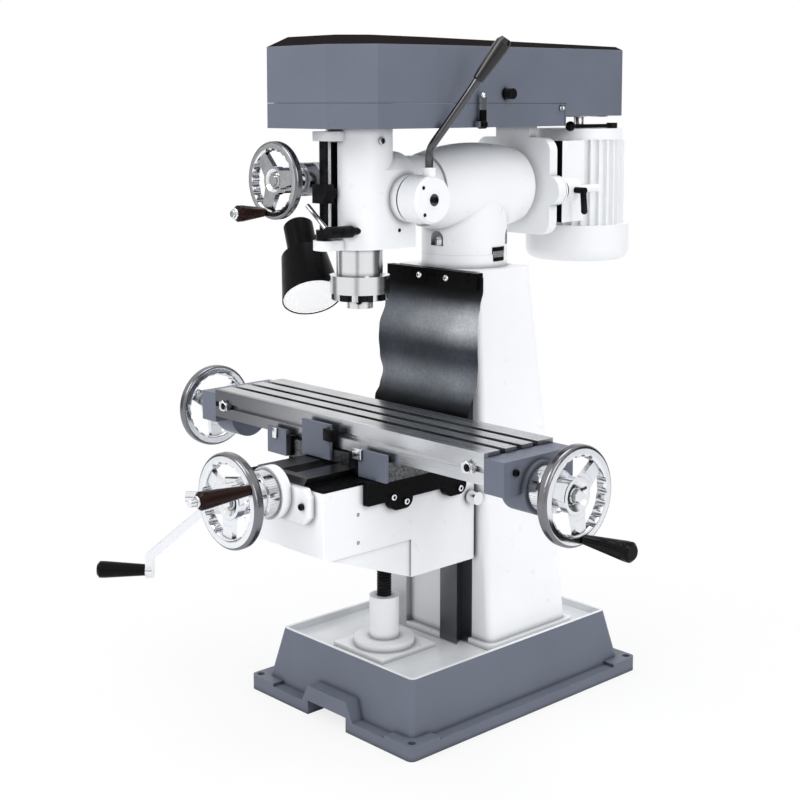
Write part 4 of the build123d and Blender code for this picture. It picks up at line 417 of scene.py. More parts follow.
# Castings and covers
base_paint = slate_enamel("base_slate")
tray = within(base_paint, (-0.1575, -0.2325, 0.0975), (0.1575, 0.2325, 0.2))
rim_top = past(base_paint, up, 0.1096)
tray_clouds = spread(base_paint, grain(base_paint, 9, (1, 0.5, 1), 3), 0, 1)
tray_white = mix_colour(base_paint, tray_clouds, (0.66, 0.68, 0.7), (0.86, 0.865, 0.87))
refinish(base_paint, tray, tray_white, 0.1, 0.0, 0.8)
refinish(base_paint, rim_top, (0.86, 0.87, 0.88), 0.25, 0.0)
dress(base_paint, "base")

column_paint = white_enamel("column_white")
# Painted light and shade: both ways are the same ground steel; the left one is painted lighter and the right
# one darker
lit_left_way = within(column_paint, (-0.09, -0.06, 0.1), (-0.0415, -0.0301, 0.6))
refinish(column_paint, lit_left_way, (0.5, 0.5, 0.52), 0.3, 1.0)
shaded_right_way = within(column_paint, (0.0415, -0.06, 0.1), (0.09, -0.0301, 0.6))
refinish(column_paint, shaded_right_way, (0.16, 0.16, 0.17), 0.3, 1.0)
# Painted shade: strips of the column's white front face beside the ways are painted dark
for inner, outer in ((-0.091, -0.066), (0.066, 0.091)):
    shade_beside_way = within(column_paint, (inner, -0.0306, 0.108), (outer, -0.0294, 0.6))
    refinish(column_paint, shade_beside_way, (0.2, 0.2, 0.21), 0.3, 1.0)
dress(column_paint, "column")

knee_paint = white_enamel("knee_white")
refinish(knee_paint, within(knee_paint, (-0.2, -0.4, 0.4205), (0.2, 0.0, 0.5)), (0.1, 0.1, 0.105), 0.3, 1.0)
dress(knee_paint, "knee")

lid_paint = slate_enamel("lid_slate")
lid_front, lid_length, lid_front_top, lid_rear_rise = -0.332, 0.741, 1.1003, 0.01
lid_rise = lid_rear_rise / lid_length
lid_shoulder = past(lid_paint, (0, -lid_rise, 1), lid_front_top - lid_front * lid_rise)
refinish(lid_paint, lid_shoulder, CHARCOAL, 0.7, 0.0, 0.0)
knob_axis, knob_radius, knob_start = (0, 0.033, 1.028), 0.0105, 0.1012
knob_line = compare(lid_paint, "LESS_THAN", off_axis(lid_paint, knob_axis, right), knob_radius)
refinish(lid_paint, both(lid_paint, knob_line, past(lid_paint, right, knob_start)), BLACK, 0.25, 0.0)
dress(lid_paint, "belt_lid")

casting_white = white_enamel("casting_white")
dress(casting_white, "elevating_pedestal", "cross_bracket", "turret", "overarm", "feed_hub")
bracket_paint = white_enamel("bracket_white")
# Painted shade: the plate's back face, in the gap before the motor's foot, is painted black
shaded_bracket_back = within(bracket_paint, (-1, 0.1808, 0.7), (1, 0.1815, 1))
refinish(bracket_paint, shaded_bracket_back, BLACK, 0.6, 0.0, 0.05)
dress(bracket_paint, "motor_bracket")
head_paint = white_enamel("head_white")
quill_slot = within(head_paint, (-0.0092, -0.2552, 0.8135), (0.0092, -0.222, 0.9515))
refinish(head_paint, quill_slot, BLACK, 0.4, 0.0)
feed_boss = compare(head_paint, "LESS_THAN", off_axis(head_paint, fine_feed_axis, front), 0.0285)
feed_boss = both(head_paint, feed_boss, past(head_paint, front, 0.262))
refinish(head_paint, feed_boss, (0.3, 0.31, 0.33), 0.18, 1.0)
dress(head_paint, "head")
motor_white = white_enamel("motor_white", shaded_corners=False)
# Painted shade: the motor foot's front face, across the same gap, is painted black
shaded_foot_front = within(motor_white, (-1, 0.1935, 0.79), (1, 0.1945, 1))
refinish(motor_white, shaded_foot_front, BLACK, 0.6, 0.0, 0.05)
dress(motor_white, "motor_frame", "fan_cover")
cover_slate = slate_enamel("cover_slate")
dress(cover_slate, "belt_pan", "end_caps", "saddle_stops")
dress(black_enamel("bracket_black"), "way_cover_clamp", "knee_guards", "saddle_keepers", "lamp_arm")

# Plain steel, chrome and blackened pieces
oiled_black = black_oxide("oiled_black")
dress(
    oiled_black, "elevating_screw", "depth_stop_rod", "stop_block", "stop_nut",
    "motor_clamp_lever", "tension_lever",
)
table_steel = ground_steel("table_steel", 0)
table_front = past(table_steel, front, 0.2455)
# Painted reflection: the table's front face is painted dark at the left end, rising to bright at the right
front_shade, front_bright = (0.17, 0.17, 0.18), (0.66, 0.67, 0.69)
front_painted_light = mix_colour(table_steel, ramp(table_steel, right, -0.32, 0.2), front_shade, front_bright)
refinish(table_steel, table_front, front_painted_light, 0.26, 1.0)
# Painted shade: the inner faces of the stop groove are painted nearly black
shaded_groove = within(table_steel, (-0.34, -0.2394, 0.476), (0.34, -0.2386, 0.486))
refinish(table_steel, shaded_groove, (0.02, 0.02, 0.022), 0.5, 0.0, 0.1)
dress(table_steel, "table")
dress(turned_steel("quill_steel", 2), "quill", "spindle", "spindle_bearings", "motor_rotor")
dress(turned_steel("screw_steel", 0), "feed_screw", "feed_pinion")
dress(turned_steel("cross_steel", 1), "cross_screw")
plated_chrome = chrome("plated_chrome")
dress(plated_chrome, "crank_shaft", "crank_arm", "turret_nuts", "knee_lock", "left_dog", "right_dog")
dress(scraped_iron("scraped_iron"), "saddle", "knee_gib")
dress(machined("bearing_bronze", (0.55, 0.38, 0.18)), "feed_nuts")
dress(machined("pulley_alloy", (0.6, 0.61, 0.63)), "spindle_pulley", "idler_pulley", "motor_pulley")

# Nose ring: blackened, with bright spanner slots round it
ring_finish = black_oxide("ring_black")
ring_slots = graduations(ring_finish, spindle_axis, 2, 8, 0.3)
ring_edge = compare(ring_finish, "GREATER_THAN", off_axis(ring_finish, spindle_axis, up), 0.0425)
refinish(ring_finish, both(ring_finish, ring_slots, ring_edge), CHROME, 0.2, 1.0)
dress(ring_finish, "nose_ring")

# Quill lock: a blackened hub with a bright rod across it
lock_finish = black_oxide("lock_black")
lock_axis = (0.036, -0.296, 0.811)
lock_rod_angle = math.radians(143)
lock_rod_way = (math.cos(lock_rod_angle), 0, math.sin(lock_rod_angle))
lock_rod = compare(lock_finish, "LESS_THAN", off_axis(lock_finish, lock_axis, lock_rod_way), 0.0046)
lock_past_hub = compare(lock_finish, "GREATER_THAN", off_axis(lock_finish, lock_axis, front), 0.0105)
refinish(lock_finish, both(lock_finish, lock_rod, lock_past_hub), (0.45, 0.46, 0.48), 0.16, 1.0)
dress(lock_finish, "quill_lock")

# Latch: a black strap below and a plated tongue above
latch_finish = black_enamel("latch_black")
refinish(latch_finish, past(latch_finish, up, 1.0015), CHROME, 0.12, 1.0)
dress(latch_finish, "latch_lever")

# Feed lever: a dark plated rod with a black grip
lever_finish = chrome("lever_rod", (0.1, 0.1, 0.105))
lever_foot, lever_grip_from_foot = Vector((0.118, -0.154, 0.945)), 0.1248
lever_way = Vector((0.087, 0.076, 0.167)).normalized()
lever_grip_start = lever_foot.dot(lever_way) + lever_grip_from_foot
refinish(lever_finish, past(lever_finish, lever_way, lever_grip_start), BLACK, 0.2, 0.0)
dress(lever_finish, "feed_lever")

# Handwheels: polished faces, a rim painted darker as painted reflection, and marked dials
wheel_lines = {
    "cross_wheel": (cross_screw_axis, 1, 0.0705, 0.0375),
    "table_wheels": (feed_screw_axis, 0, 0.0705, 0.0355),
    "fine_feed_wheel": (fine_feed_axis, 1, 0.058, 1.0),
}
for wheel, (point, axis, rim_start, dial_edge) in wheel_lines.items():
    wheel_finish = chrome(wheel + "_chrome")
    way = [0, 0, 0]
    way[axis] = 1
    spread_out = off_axis(wheel_finish, point, way)
    # Painted reflection: the plated rim is painted darker than the faces
    rim = compare(wheel_finish, "GREATER_THAN", spread_out, rim_start)
    refinish(wheel_finish, rim, (0.2, 0.2, 0.215), 0.18, 1.0)
    on_dial = both(
        wheel_finish, compare(wheel_finish, "GREATER_THAN", spread_out, dial_edge),
        compare(wheel_finish, "LESS_THAN", spread_out, dial_edge + 0.002),
    )
    marks = both(wheel_finish, on_dial, graduations(wheel_finish, point, axis, 60, 0.12))
    refinish(wheel_finish, marks, (0.12, 0.12, 0.12), 0.4, 0.0)
    dress(wheel_finish, wheel)

dress(moulded("grip_black", BLACK), "crank_grip", "table_grip")
dress(moulded("grip_brown", BROWN), "cross_grip", "fine_feed_grip")

# Lamp: black shade with a white lens in its mouth
lamp_finish = black_enamel("lamp_black")
lamp_top = Vector((-0.222, -0.15, 0.8005))
lamp_turn, lamp_tilt = math.radians(-26), math.radians(42)
lamp_length, lens_radius = 0.1485, 0.0493
lamp_way = Vector((
    math.sin(lamp_tilt) * math.cos(lamp_turn),
    math.sin(lamp_tilt) * math.sin(lamp_turn),
    -math.cos(lamp_tilt),
))
lens = both(
    lamp_finish, past(lamp_finish, lamp_way, lamp_top.dot(lamp_way) + lamp_length),
    compare(lamp_finish, "LESS_THAN", off_axis(lamp_finish, lamp_top, lamp_way), lens_radius),
)
refinish(lamp_finish, lens, (0.95, 0.95, 0.95), 0.3, 0.0)
shader_input(lamp_finish, "Emission Color").default_value = (1, 1, 1, 1)
lens_glow = mix_value(lamp_finish, lens, 0.0, 0.35)
wire(lamp_finish, lens_glow, shader_input(lamp_finish, "Emission Strength"))
dress(lamp_finish, "lamp_shade")


# Modelling of the added pieces
def only(piece):
    """Selects one piece alone, and makes it the active one."""
    bpy.ops.object.select_all(action="DESELECT")
    piece.select_set(True)
    bpy.context.view_layer.objects.active = piece


def turned(name, rings, sides=40):
    """A turned piece standing on the origin; rings are (radius, height) from its foot up."""
    bpy.ops.object.select_all(action="DESELECT")
    radius, height = rings[0]
    bpy.ops.mesh.primitive_circle_add(
        vertices=sides, radius=radius, fill_type="NGON", location=(0, 0, height)
    )
    piece = bpy.context.active_object
    piece.name = name
    bpy.ops.object.mode_set(mode="EDIT")
    bpy.ops.mesh.select_all(action="SELECT")
    for next_radius, next_height in rings[1:]:
        bpy.ops.mesh.extrude_region_move(TRANSFORM_OT_translate={"value": (0, 0, next_height - height)})
        grow = next_radius / radius
        bpy.ops.transform.resize(value=(grow, grow, 1), center_override=(0, 0, next_height))
        radius, height = next_radius, next_height
    bpy.ops.mesh.select_all(action="SELECT")
    bpy.ops.mesh.normals_make_consistent(inside=False)
    bpy.ops.object.mode_set(mode="OBJECT")
    bpy.ops.object.transform_apply(location=True, rotation=True, scale=True)
    return piece


def crown(radius, foot, height, steps=5):
    """The rings of a rounded top, for a turned piece."""
    rings = []
    for step in range(1, steps + 1):
        angle = math.radians(88 * step / steps)
        rings.append((radius * math.cos(angle), foot + height * math.sin(angle)))
    return rings


def sink_socket(piece, across, depth, top):
    """Sinks a hexagonal socket into the top of a screw's head."""
    bpy.ops.mesh.primitive_cylinder_add(
        vertices=6, radius=across / math.sqrt(3), depth=2 * depth, location=(0, 0, top)
    )
    key = bpy.context.active_object
    only(piece)
    cut = piece.modifiers.new("socket", "BOOLEAN")
    cut.operation = "DIFFERENCE"
    cut.object = key
    bpy.ops.object.modifier_apply(modifier=cut.name)
    bpy.data.objects.remove(key)


def another(piece, name):
    """A copy with its own mesh."""
    twin = piece.copy()
    twin.data = piece.data.copy()
    twin.name = name
    bpy.context.scene.collection.objects.link(twin)
    return twin


def stand(piece, place, way):
    """Sets a piece that stands on the origin in its place, with its top along way."""
    only(piece)
    piece.rotation_euler = Vector(way).to_track_quat("Z", "Y").to_euler()
    piece.location = place
    bpy.ops.object.transform_apply(location=True, rotation=True, scale=True)


def fit(piece, material, slot, body, angle=35):
    """Finishes a piece that is in its place, and lets it move with its body."""
    only(piece)
    bpy.ops.object.shade_smooth_by_angle(angle=math.radians(angle))
    piece.data.materials.clear()
    piece.data.materials.append(material)
    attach(piece, body)


def set_copies(pattern, name, body, metal, places):
    """Copies of a pattern, each at a (place, way) of its own; metal is a material and its slot, and the slot
    is not used.
    """
    for number, (place, way) in enumerate(places, 1):
        twin = another(pattern, "%s_%d" % (name, number))
        stand(twin, place, way)
        fit(twin, *metal, body)


def both_sides(places):
    """The same places on the right and the left, each facing outwards."""
    return [((x, y, z), right) for x, y, z in places] + [((-x, y, z), left) for x, y, z in places]


# Screws, each kind modelled once
cap_screw = turned(
    "cap_screw", [(0.0049, 0), (0.0052, 0.0004), (0.0052, 0.0044), (0.0046, 0.0052), (0.0004, 0.0053)], 32
)
sink_socket(cap_screw, 0.0052, 0.0026, 0.0054)
dome_screw = turned("dome_screw", [(0.0056, 0), (0.0058, 0.0005)] + crown(0.0058, 0.0005, 0.0032), 32)
sink_socket(dome_screw, 0.0034, 0.0018, 0.0037)
grub_screw = turned("grub_screw", [(0.0031, 0), (0.0031, 0.0003), (0.0027, 0.0006), (0.0004, 0.0006)], 24)
sink_socket(grub_screw, 0.0028, 0.0004, 0.0006)

screw_chrome = chrome("screw_chrome")
plated = (screw_chrome, "chrome")
blackened = (oiled_black, "black_steel")
set_copies(
    dome_screw, "clamp_screw", "frame", plated,
    [((-0.0246, -0.0445, 0.7205), front), ((0.0401, -0.0445, 0.7205), front)],
)
set_copies(
    cap_screw, "keeper_screw", "saddle", plated,
    [
        ((0.1125, -0.234, 0.3946), right), ((0.1125, -0.206, 0.383), right), ((0.1125, -0.084, 0.382), right),
        ((-0.1125, -0.234, 0.396), left), ((-0.1125, -0.12, 0.396), left),
    ],
)
set_copies(
    grub_screw, "knee_screw", "knee", blackened,
    both_sides([(0.09955, -0.295, 0.375), (0.09955, -0.295, 0.33)]),
)
set_copies(
    cap_screw, "bracket_screw", "knee", blackened,
    [((0.067, -0.38, 0.397), front), ((-0.067, -0.38, 0.397), front)],
)
set_copies(cap_screw, "lug_screw", "head", plated, [((0.0539, -0.204, 0.953), right)])
set_copies(grub_screw, "head_screw", "head", blackened, [((0.054, -0.164, 0.809), right)])
set_copies(
    grub_screw, "hub_screw", "feed_lever", blackened,
    [((0.118, -0.169, 0.837), right), ((0.118, -0.172, 0.88), right)],
)
set_copies(cap_screw, "pinion_screw", "feed_lever", blackened, [((0.118, -0.1485, 0.86), right)])
set_copies(cap_screw, "nose_screw", "spindle", blackened, [((0.0152, -0.2171, 0.695), (0.73, -0.69, 0))])
set_copies(
    cap_screw, "cap_end_screw", "table", blackened,
    both_sides([(0.37, -0.2305, 0.481), (0.37, -0.1255, 0.481)]),
)
set_copies(grub_screw, "fine_hub_screw", "fine_feed", plated, [((-0.052, -0.336, 0.891), front)])
for pattern in (cap_screw, dome_screw, grub_screw):
    bpy.data.objects.remove(pattern)

# Handwheel hubs: a dished washer and a nut on each
hub_washer = turned(
    "hub_washer", [(0.0128, 0), (0.0128, 0.0012), (0.0122, 0.002), (0.0115, 0.003), (0.011, 0.003)], 48
)
hub_nut = turned(
    "hub_nut", [(0.0098, 0), (0.0101, 0.0006), (0.0101, 0.0066), (0.009, 0.0076), (0.0012, 0.0077)], 6
)
cross_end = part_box("cross_screw")[0][1] + 0.006
table_hub, fine_hub, nut_seat = 0.4383, 0.333, 0.0028
hubs = {
    "right_wheel": (feed_screw_axis, table_hub, right, "table_feed"),
    "left_wheel": (feed_screw_axis, table_hub, left, "table_feed"),
    "cross_wheel": (cross_screw_axis, -cross_end, front, "cross_feed"),
    "fine_wheel": (fine_feed_axis, fine_hub, front, "fine_feed"),
}
for hub, (axis_point, reach, way, body) in hubs.items():
    place = Vector(axis_point) + reach * Vector(way)
    washer = another(hub_washer, hub + "_washer")
    stand(washer, place, way)
    fit(washer, *plated, body)
    if hub == "fine_wheel":
        continue
    nut = another(hub_nut, hub + "_nut")
    stand(nut, place + nut_seat * Vector(way), way)
    fit(nut, *plated, body, 25)
bpy.data.objects.remove(hub_washer)
bpy.data.objects.remove(hub_nut)

# Plated ends of the two brown grips
for grip, reach in (("cross_grip", 0.011), ("fine_feed_grip", 0.003)):
    low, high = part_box(grip)
    stub = 0.0044 + reach
    grip_end = turned(
        grip + "_end",
        [
            (0.0085, 0), (0.009, 0.0008), (0.009, 0.003), (0.0074, 0.0042), (0.0062, 0.0044),
            (0.0062, stub - 0.001), (0.0052, stub), (0.0006, stub + 0.0001),
        ],
    )
    stand(grip_end, ((low[0] + high[0]) / 2, low[1] - 0.0002, (low[2] + high[2]) / 2), front)
    fit(grip_end, *plated, grip)

# Ball on the latch's tongue
latch_low, latch_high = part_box("latch_lever")
latch_mid = [(a + b) / 2 for a, b in zip(latch_low, latch_high)]
latch_ball = turned(
    "latch_ball",
    [(0.0026, -0.004), (0.0026, 0.0006), (0.0044, 0.0022), (0.0052, 0.0044)] + crown(0.0052, 0.0044, 0.0052),
    32,
)
stand(latch_ball, (latch_mid[0] + 0.001, latch_mid[1], latch_high[2] - 0.002), up)
fit(latch_ball, *plated, "latch")


# Swivel scale: a marked plate on the turret and one on its ring
def bent_plate(name, bottom, top, first, last):
    """A thin plate bent round the turret between two angles from the right."""
    radius, thickness = 0.0741, 0.0009
    bpy.ops.object.select_all(action="DESELECT")
    bpy.ops.mesh.primitive_grid_add(x_subdivisions=24, y_subdivisions=2, size=1)
    plate = bpy.context.active_object
    plate.name = name
    for point in plate.data.vertices:
        angle = math.radians(first + (point.co.x + 0.5) * (last - first))
        height = bottom + (point.co.y + 0.5) * (top - bottom)
        point.co = (radius * math.cos(angle), turret_axis[1] + radius * math.sin(angle), height)
    only(plate)
    thicken = plate.modifiers.new("thickness", "SOLIDIFY")
    thicken.thickness = thickness
    thicken.offset = 1
    bpy.ops.object.modifier_apply(modifier=thicken.name)
    edge = plate.modifiers.new("edge", "BEVEL")
    edge.width = 0.0002
    edge.segments = 2
    edge.limit_method = "ANGLE"
    bpy.ops.object.modifier_apply(modifier=edge.name)
    return plate


scale_finish = black_enamel("scale_black")
scale_band = either(
    scale_finish, within(scale_finish, (-1, -1, 0.7575), (1, 1, 0.7625)),
    within(scale_finish, (-1, -1, 0.752), (1, 1, 0.757)),
)
scale_marks = both(scale_finish, scale_band, graduations(scale_finish, turret_axis, 2, 180, 0.3))
refinish(scale_finish, scale_marks, (0.7, 0.7, 0.7), 0.4, 0.0)
fit(bent_plate("swivel_scale", 0.7578, 0.7695, -6, 20), scale_finish, "black_paint", "turret")
fit(bent_plate("swivel_mark", 0.7455, 0.7565, -4, 19), scale_finish, "black_paint", "frame")


# Saddle stops: plated clips and blackened returns on the slate plates
def bevel_block(name, low, high, bevel):
    """A block between two corners with rounded edges."""
    bpy.ops.object.select_all(action="DESELECT")
    middle = [(a + b) / 2 for a, b in zip(low, high)]
    bpy.ops.mesh.primitive_cube_add(size=1, location=middle, scale=[b - a for a, b in zip(low, high)])
    piece = bpy.context.active_object
    piece.name = name
    bpy.ops.object.transform_apply(location=True, rotation=True, scale=True)
    edge = piece.modifiers.new("edge", "BEVEL")
    edge.width = bevel
    edge.segments = 3
    bpy.ops.object.modifier_apply(modifier=edge.name)
    return piece


saddle_clips = {
    "left_clip": ((-0.1455, -0.2715, 0.4525), (-0.1345, -0.2675, 0.4705), 0.001, plated),
    "right_clip": ((0.06, -0.2725, 0.4535), (0.08, -0.2675, 0.471), 0.001, plated),
    "left_return": ((-0.1125, -0.268, 0.4285), (-0.1, -0.2555, 0.462), 0.001, blackened),
    "right_return": ((0.046, -0.268, 0.4285), (0.0705, -0.2555, 0.462), 0.001, blackened),
    "stop_catch": ((-0.007, -0.277, 0.472), (0.0145, -0.2675, 0.492), 0.0015, blackened),
}
for clip, (low, high, bevel, metal) in saddle_clips.items():
    fit(bevel_block(clip, low, high, bevel), *metal, "saddle")

# Table dogs: a plated five-sided stop with a black screw on each, flat enough to pass the saddle's stop
dog_stop = turned(
    "dog_stop", [(0.0102, 0), (0.0105, 0.0002), (0.0105, 0.0009), (0.0102, 0.0011), (0.004, 0.0011)], 5
)
dog_knob = turned(
    "dog_knob", [(0.0056, 0), (0.0058, 0.0001), (0.0058, 0.0006), (0.0055, 0.0007), (0.0006, 0.0007)], 28
)
dog_face, dog_height = -0.26005, 0.481
for dog, x in (("left_dog", -0.3), ("right_dog", 0.3)):
    stop = another(dog_stop, dog + "_stop")
    stand(stop, (x - 0.0004, dog_face, dog_height), front)
    fit(stop, *plated, dog, 25)
    knob = another(dog_knob, dog + "_knob")
    stand(knob, (x + 0.002, dog_face - 0.00105, dog_height), front)
    fit(knob, *blackened, dog)
bpy.data.objects.remove(dog_stop)
bpy.data.objects.remove(dog_knob)

# Plated stud on the cover's side
cover_stud = turned(
    "cover_stud", [(0.0048, 0), (0.005, 0.0005), (0.005, 0.0024), (0.003, 0.003), (0.003, 0.0062)]
    + crown(0.003, 0.0062, 0.0026), 28,
)
stand(cover_stud, (0.0828, 0.194, 1.004), (0.99, 0.11, 0))
fit(cover_stud, *plated, "head")

# Way cover: a rubber sheet that bellies out between its clamp and the knee
left_fold = [
    (0.728, -0.037), (0.706, -0.037), (0.665, -0.047), (0.627, -0.062), (0.607, -0.0636), (0.577, -0.06),
    (0.547, -0.051), (0.521, -0.060), (0.504, -0.072), (0.46, -0.076), (0.427, -0.076),
]
middle_fold = [
    (0.728, -0.037), (0.706, -0.037), (0.672, -0.047), (0.632, -0.0585), (0.6, -0.0595), (0.57, -0.062),
    (0.53, -0.0655), (0.5, -0.072), (0.46, -0.076), (0.427, -0.076),
]
right_fold = [
    (0.728, -0.037), (0.706, -0.037), (0.68, -0.044), (0.66, -0.048), (0.634, -0.0495), (0.606, -0.049),
    (0.578, -0.048), (0.55, -0.05), (0.533, -0.057), (0.519, -0.065), (0.501, -0.07), (0.46, -0.076),
    (0.427, -0.076),
]


def fold_depth(fold, height):
    """How far forward a fold stands at a height, with its points joined by eased curves."""
    if height >= fold[0][0]:
        return fold[0][1]
    for (upper, start), (lower, end) in zip(fold, fold[1:]):
        if height >= lower:
            share = (upper - height) / (upper - lower)
            return start + (end - start) * (0.5 - 0.5 * math.cos(math.pi * share))
    return fold[-1][1]


sheet_left, sheet_right = -0.105, 0.12
sheet_top, sheet_foot = 0.728, 0.4275
way_half = 0.085
sheet_thickness = 0.0022
bpy.ops.object.select_all(action="DESELECT")
bpy.ops.mesh.primitive_grid_add(x_subdivisions=60, y_subdivisions=110, size=1)
way_sheet = bpy.context.active_object
way_sheet.name = "way_sheet"
for point in way_sheet.data.vertices:
    across, drop = point.co.x + 0.5, 0.5 - point.co.y
    x = sheet_left + across * (sheet_right - sheet_left)
    z = sheet_top - drop * (sheet_top - sheet_foot)
    side, edge = (left_fold, sheet_left) if x < 0 else (right_fold, sheet_right)
    share = max(0, abs(x) - way_half) / (abs(edge) - way_half)
    y = fold_depth(middle_fold, z) * (1 - share) + fold_depth(side, z) * share
    point.co = (x, y - 0.0002, z)
only(way_sheet)
settle = way_sheet.modifiers.new("settle", "SMOOTH")
settle.factor = 0.5
settle.iterations = 6
settle.use_x = False
settle.use_z = False
bpy.ops.object.modifier_apply(modifier=settle.name)
thicken = way_sheet.modifiers.new("thickness", "SOLIDIFY")
thicken.thickness = sheet_thickness
thicken.offset = 1
bpy.ops.object.modifier_apply(modifier=thicken.name)
bpy.ops.object.shade_smooth_by_angle(angle=math.radians(50))
way_rubber = sheet_rubber("way_rubber")
# Painted highlights: bands of painted sheen across the black rubber, painted brighter towards the right
dim_sheen_blue, sheen_blue, sheen_white = (0.07, 0.08, 0.095), (0.26, 0.28, 0.305), (0.88, 0.91, 0.93)
lit_side = ramp(way_rubber, right, -0.07, 0.11)
for foot, low, high, top, colour in (
    (0.5, 0.545, 0.66, 0.705, dim_sheen_blue),
    (0.512, 0.552, 0.553, 0.59, sheen_blue),
    (0.602, 0.645, 0.65, 0.692, mix_colour(way_rubber, lit_side, sheen_blue, sheen_white)),
):
    band = both(way_rubber, ramp(way_rubber, up, foot, low), ramp(way_rubber, down, -top, -high))
    band = both(way_rubber, band, spread(way_rubber, grain(way_rubber, 14, detail=4), 0.55, 1))
    band = both(way_rubber, band, spread(way_rubber, grain(way_rubber, 220, detail=3), 0.75, 1))
    refinish(way_rubber, band, colour, 0.5, 0.0)
way_sheet.data.materials.append(way_rubber)
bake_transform(way_sheet)
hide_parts("way_cover")


# Drive belts: V-belts in the pulleys' grooves
def belt(name, front_y, front_radius, back_y, back_radius, height):
    """A V-belt round two pulleys; the radii are those of the belt's outer face."""
    bpy.ops.object.select_all(action="DESELECT")
    bpy.ops.mesh.primitive_circle_add(vertices=96, radius=1)
    loop = bpy.context.active_object
    loop.name = name
    half_depth = 0.004
    for point in loop.data.vertices:
        x, y = point.co.x, point.co.y
        radius, centre = (front_radius, front_y) if y < 0 else (back_radius, back_y)
        point.co = ((radius - half_depth) * x, centre + (radius - half_depth) * y, height)
    bpy.ops.object.convert(target="CURVE")
    bpy.ops.mesh.primitive_circle_add(vertices=4, radius=1)
    section = bpy.context.active_object
    corners = ((0.0042, 0.0044), (-0.0038, 0.0036), (-0.0038, -0.0036), (0.0042, -0.0044))
    for point, (out, along) in zip(section.data.vertices, corners):
        point.co = (out, along, 0)
    bpy.ops.object.convert(target="CURVE")
    loop.data.bevel_mode = "OBJECT"
    loop.data.bevel_object = section
    only(loop)
    bpy.ops.object.convert(target="MESH")
    bpy.data.objects.remove(section)
    bpy.ops.object.mode_set(mode="EDIT")
    bpy.ops.mesh.select_all(action="SELECT")
    bpy.ops.mesh.remove_doubles(threshold=0.00001)
    bpy.ops.mesh.normals_make_consistent(inside=False)
    bpy.ops.object.mode_set(mode="OBJECT")
    bpy.ops.object.shade_smooth_by_angle(angle=math.radians(30))
    loop.data.materials.append(belt_rubber)
    return loop


belt_rubber = sheet_rubber("belt_rubber")
idler_y, motor_y = 0.07, 0.342
front_belt = belt("front_belt", spindle_axis[1], 0.046, idler_y, 0.055, 1.038)
rear_belt = belt("rear_belt", idler_y, 0.046, motor_y, 0.046, 1.018)
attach(front_belt, "head")
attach(rear_belt, "head")
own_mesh(rear_belt)
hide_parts("drive_belts")

# Stage, light and camera
bpy.ops.mesh.primitive_plane_add(size=5, location=(0, 0, -0.0005))
floor = bpy.context.active_object
floor.name = "floor"
floor_white = bpy.data.materials.new("floor_white")
floor_white.use_nodes = True
floor_tree = floor_white.node_tree
floor_shader = floor_tree.nodes["Principled BSDF"]
floor_shader.inputs["Base Color"].default_value = (0.86, 0.86, 0.86, 1)
floor_shader.inputs["Roughness"].default_value = 0.9
floor_shader.inputs["Specular IOR Level"].default_value = 0
floor_glow = add_node(floor_white, "ShaderNodeEmission")
floor_ray = add_node(floor_white, "ShaderNodeLightPath")
floor_reach = add_node(floor_white, "ShaderNodeVectorMath", operation="LENGTH")
floor_fade = add_node(floor_white, "ShaderNodeMapRange", interpolation_type="SMOOTHSTEP")
floor_fade.inputs["From Min"].default_value = 0.35
floor_fade.inputs["From Max"].default_value = 1.1
floor_fade.inputs["To Min"].default_value = 0.8
floor_fade.inputs["To Max"].default_value = 1
floor_mix = add_node(floor_white, "ShaderNodeMixShader")
wire(floor_white, place_on(floor_white), floor_reach.inputs[0])
wire(floor_white, floor_reach.outputs["Value"], floor_fade.inputs["Value"])
wire(
    floor_white, both(floor_white, floor_fade.outputs["Result"], floor_ray.outputs["Is Camera Ray"]),
    floor_mix.inputs[0],
)
wire(floor_white, floor_shader.outputs["BSDF"], floor_mix.inputs[1])
wire(floor_white, floor_glow.outputs["Emission"], floor_mix.inputs[2])
wire(floor_white, floor_mix.outputs["Shader"], floor_tree.nodes["Material Output"].inputs["Surface"])
floor.data.materials.append(floor_white)

world = bpy.data.worlds.new("studio")
bpy.context.scene.world = world
world.use_nodes = True
sky = world.node_tree
room = sky.nodes["Background"]
room.inputs["Color"].default_value = (0.95, 0.97, 1, 1)
room.inputs["Strength"].default_value = 0.8
backdrop = sky.nodes.new("ShaderNodeBackground")
backdrop.inputs["Color"].default_value = (1, 1, 1, 1)
ray = sky.nodes.new("ShaderNodeLightPath")


def sky_math(operation, first, second):
    """One step of reckoning in the world's nodes; each value is a socket or a number."""
    step = sky.nodes.new("ShaderNodeMath")
    step.operation = operation
    for socket, value in zip(step.inputs, (first, second)):
        if isinstance(value, int):
            socket.default_value = value
        else:
            sky.links.new(value, socket)
    return step.outputs["Value"]


def dark_side(direction, edge, middle, depth):
    """How much darker the room is round a level direction, in a reflection."""
    way = sky.nodes.new("ShaderNodeTexCoord")
    along = sky.nodes.new("ShaderNodeVectorMath")
    along.operation = "DOT_PRODUCT"
    along.inputs[1].default_value = direction
    fall = sky.nodes.new("ShaderNodeMapRange")
    fall.interpolation_type = "SMOOTHSTEP"
    fall.inputs["From Min"].default_value = edge
    fall.inputs["From Max"].default_value = middle
    fall.inputs["To Max"].default_value = depth
    sky.links.new(way.outputs["Generated"], along.inputs[0])
    sky.links.new(along.outputs["Value"], fall.inputs["Value"])
    return sky_math("MULTIPLY", fall.outputs["Result"], ray.outputs["Is Glossy Ray"])


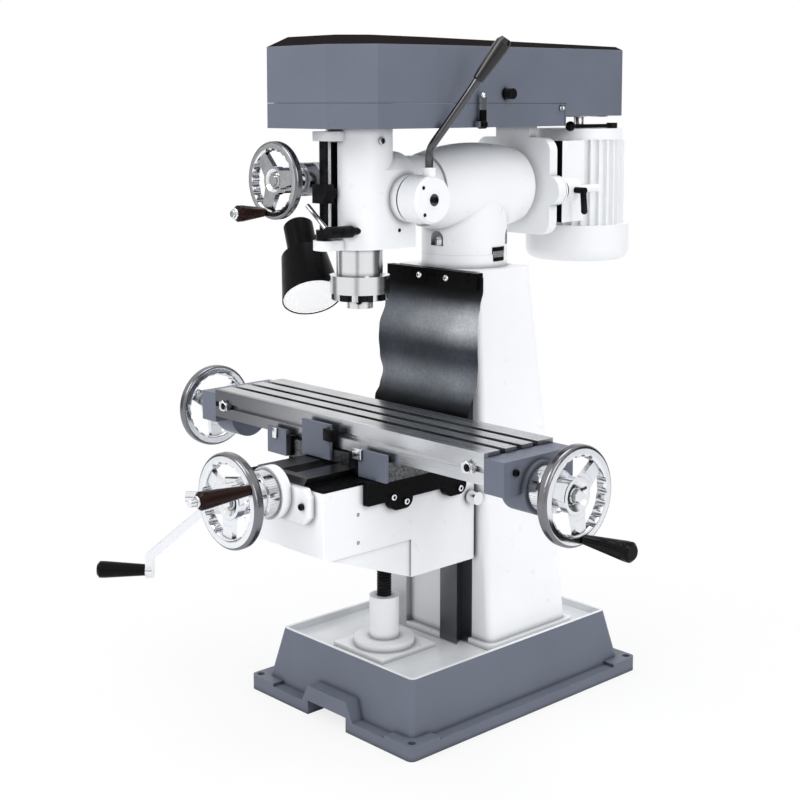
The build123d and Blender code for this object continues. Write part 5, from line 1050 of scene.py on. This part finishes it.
back_dark = dark_side((0.5, 0.866, 0), 0.78, 0.95, 0.88)
left_dark = dark_side((-0.906, -0.423, 0), 0.93, 0.99, 0.75)
front_dark = dark_side((0.6, -0.8, 0), 0.97, 0.996, 0.55)
all_dark = sky_math("ADD", sky_math("ADD", back_dark, left_dark), front_dark)
sky.links.new(sky_math("SUBTRACT", 1, all_dark), backdrop.inputs["Strength"])
seen = sky_math("MAXIMUM", ray.outputs["Is Camera Ray"], ray.outputs["Is Glossy Ray"])
seen = sky_math("MAXIMUM", seen, ray.outputs["Is Transmission Ray"])
choose = sky.nodes.new("ShaderNodeMixShader")
sky.links.new(seen, choose.inputs[0])
sky.links.new(room.outputs["Background"], choose.inputs[1])
sky.links.new(backdrop.outputs["Background"], choose.inputs[2])
sky.links.new(choose.outputs["Shader"], sky.nodes["World Output"].inputs["Surface"])


def soft_box(name, place, aim, size, power):
    """A wide, soft lamp that faces a point."""
    bpy.ops.object.light_add(type="AREA", location=place)
    lamp = bpy.context.active_object
    lamp.name = name
    lamp.data.shape = "RECTANGLE"
    lamp.data.size, lamp.data.size_y = size
    lamp.data.energy = power
    x, y, z = Vector(aim) - Vector(place)
    tilt = math.atan2(math.hypot(x, y), -z)
    lamp.rotation_euler = (tilt, 0, math.atan2(y, x) - math.pi / 2)


soft_box("key", (-0.6, -2.6, 2.6), (0, -0.1, 0.6), (1.6, 1.6), 38)
soft_box("side", (2.8, -0.4, 1.8), (0, 0, 0.6), (1.2, 1.8), 20)
soft_box("top", (0.2, 0.3, 3.2), (0, 0, 0.5), (1.6, 1.6), 26)

camera_data = bpy.data.cameras.new("camera")
camera = bpy.data.objects.new("camera", camera_data)
bpy.context.scene.collection.objects.link(camera)
camera_data.sensor_width = 36
camera_data.lens = 65.57
camera_data.shift_y = -0.17
camera.location = (1.7617, -1.7586, 1.0085)
camera.rotation_euler = (math.radians(90 - 6.206), 0, math.radians(46.942))
bpy.context.scene.camera = camera
bpy.context.scene.view_settings.view_transform = "Standard"
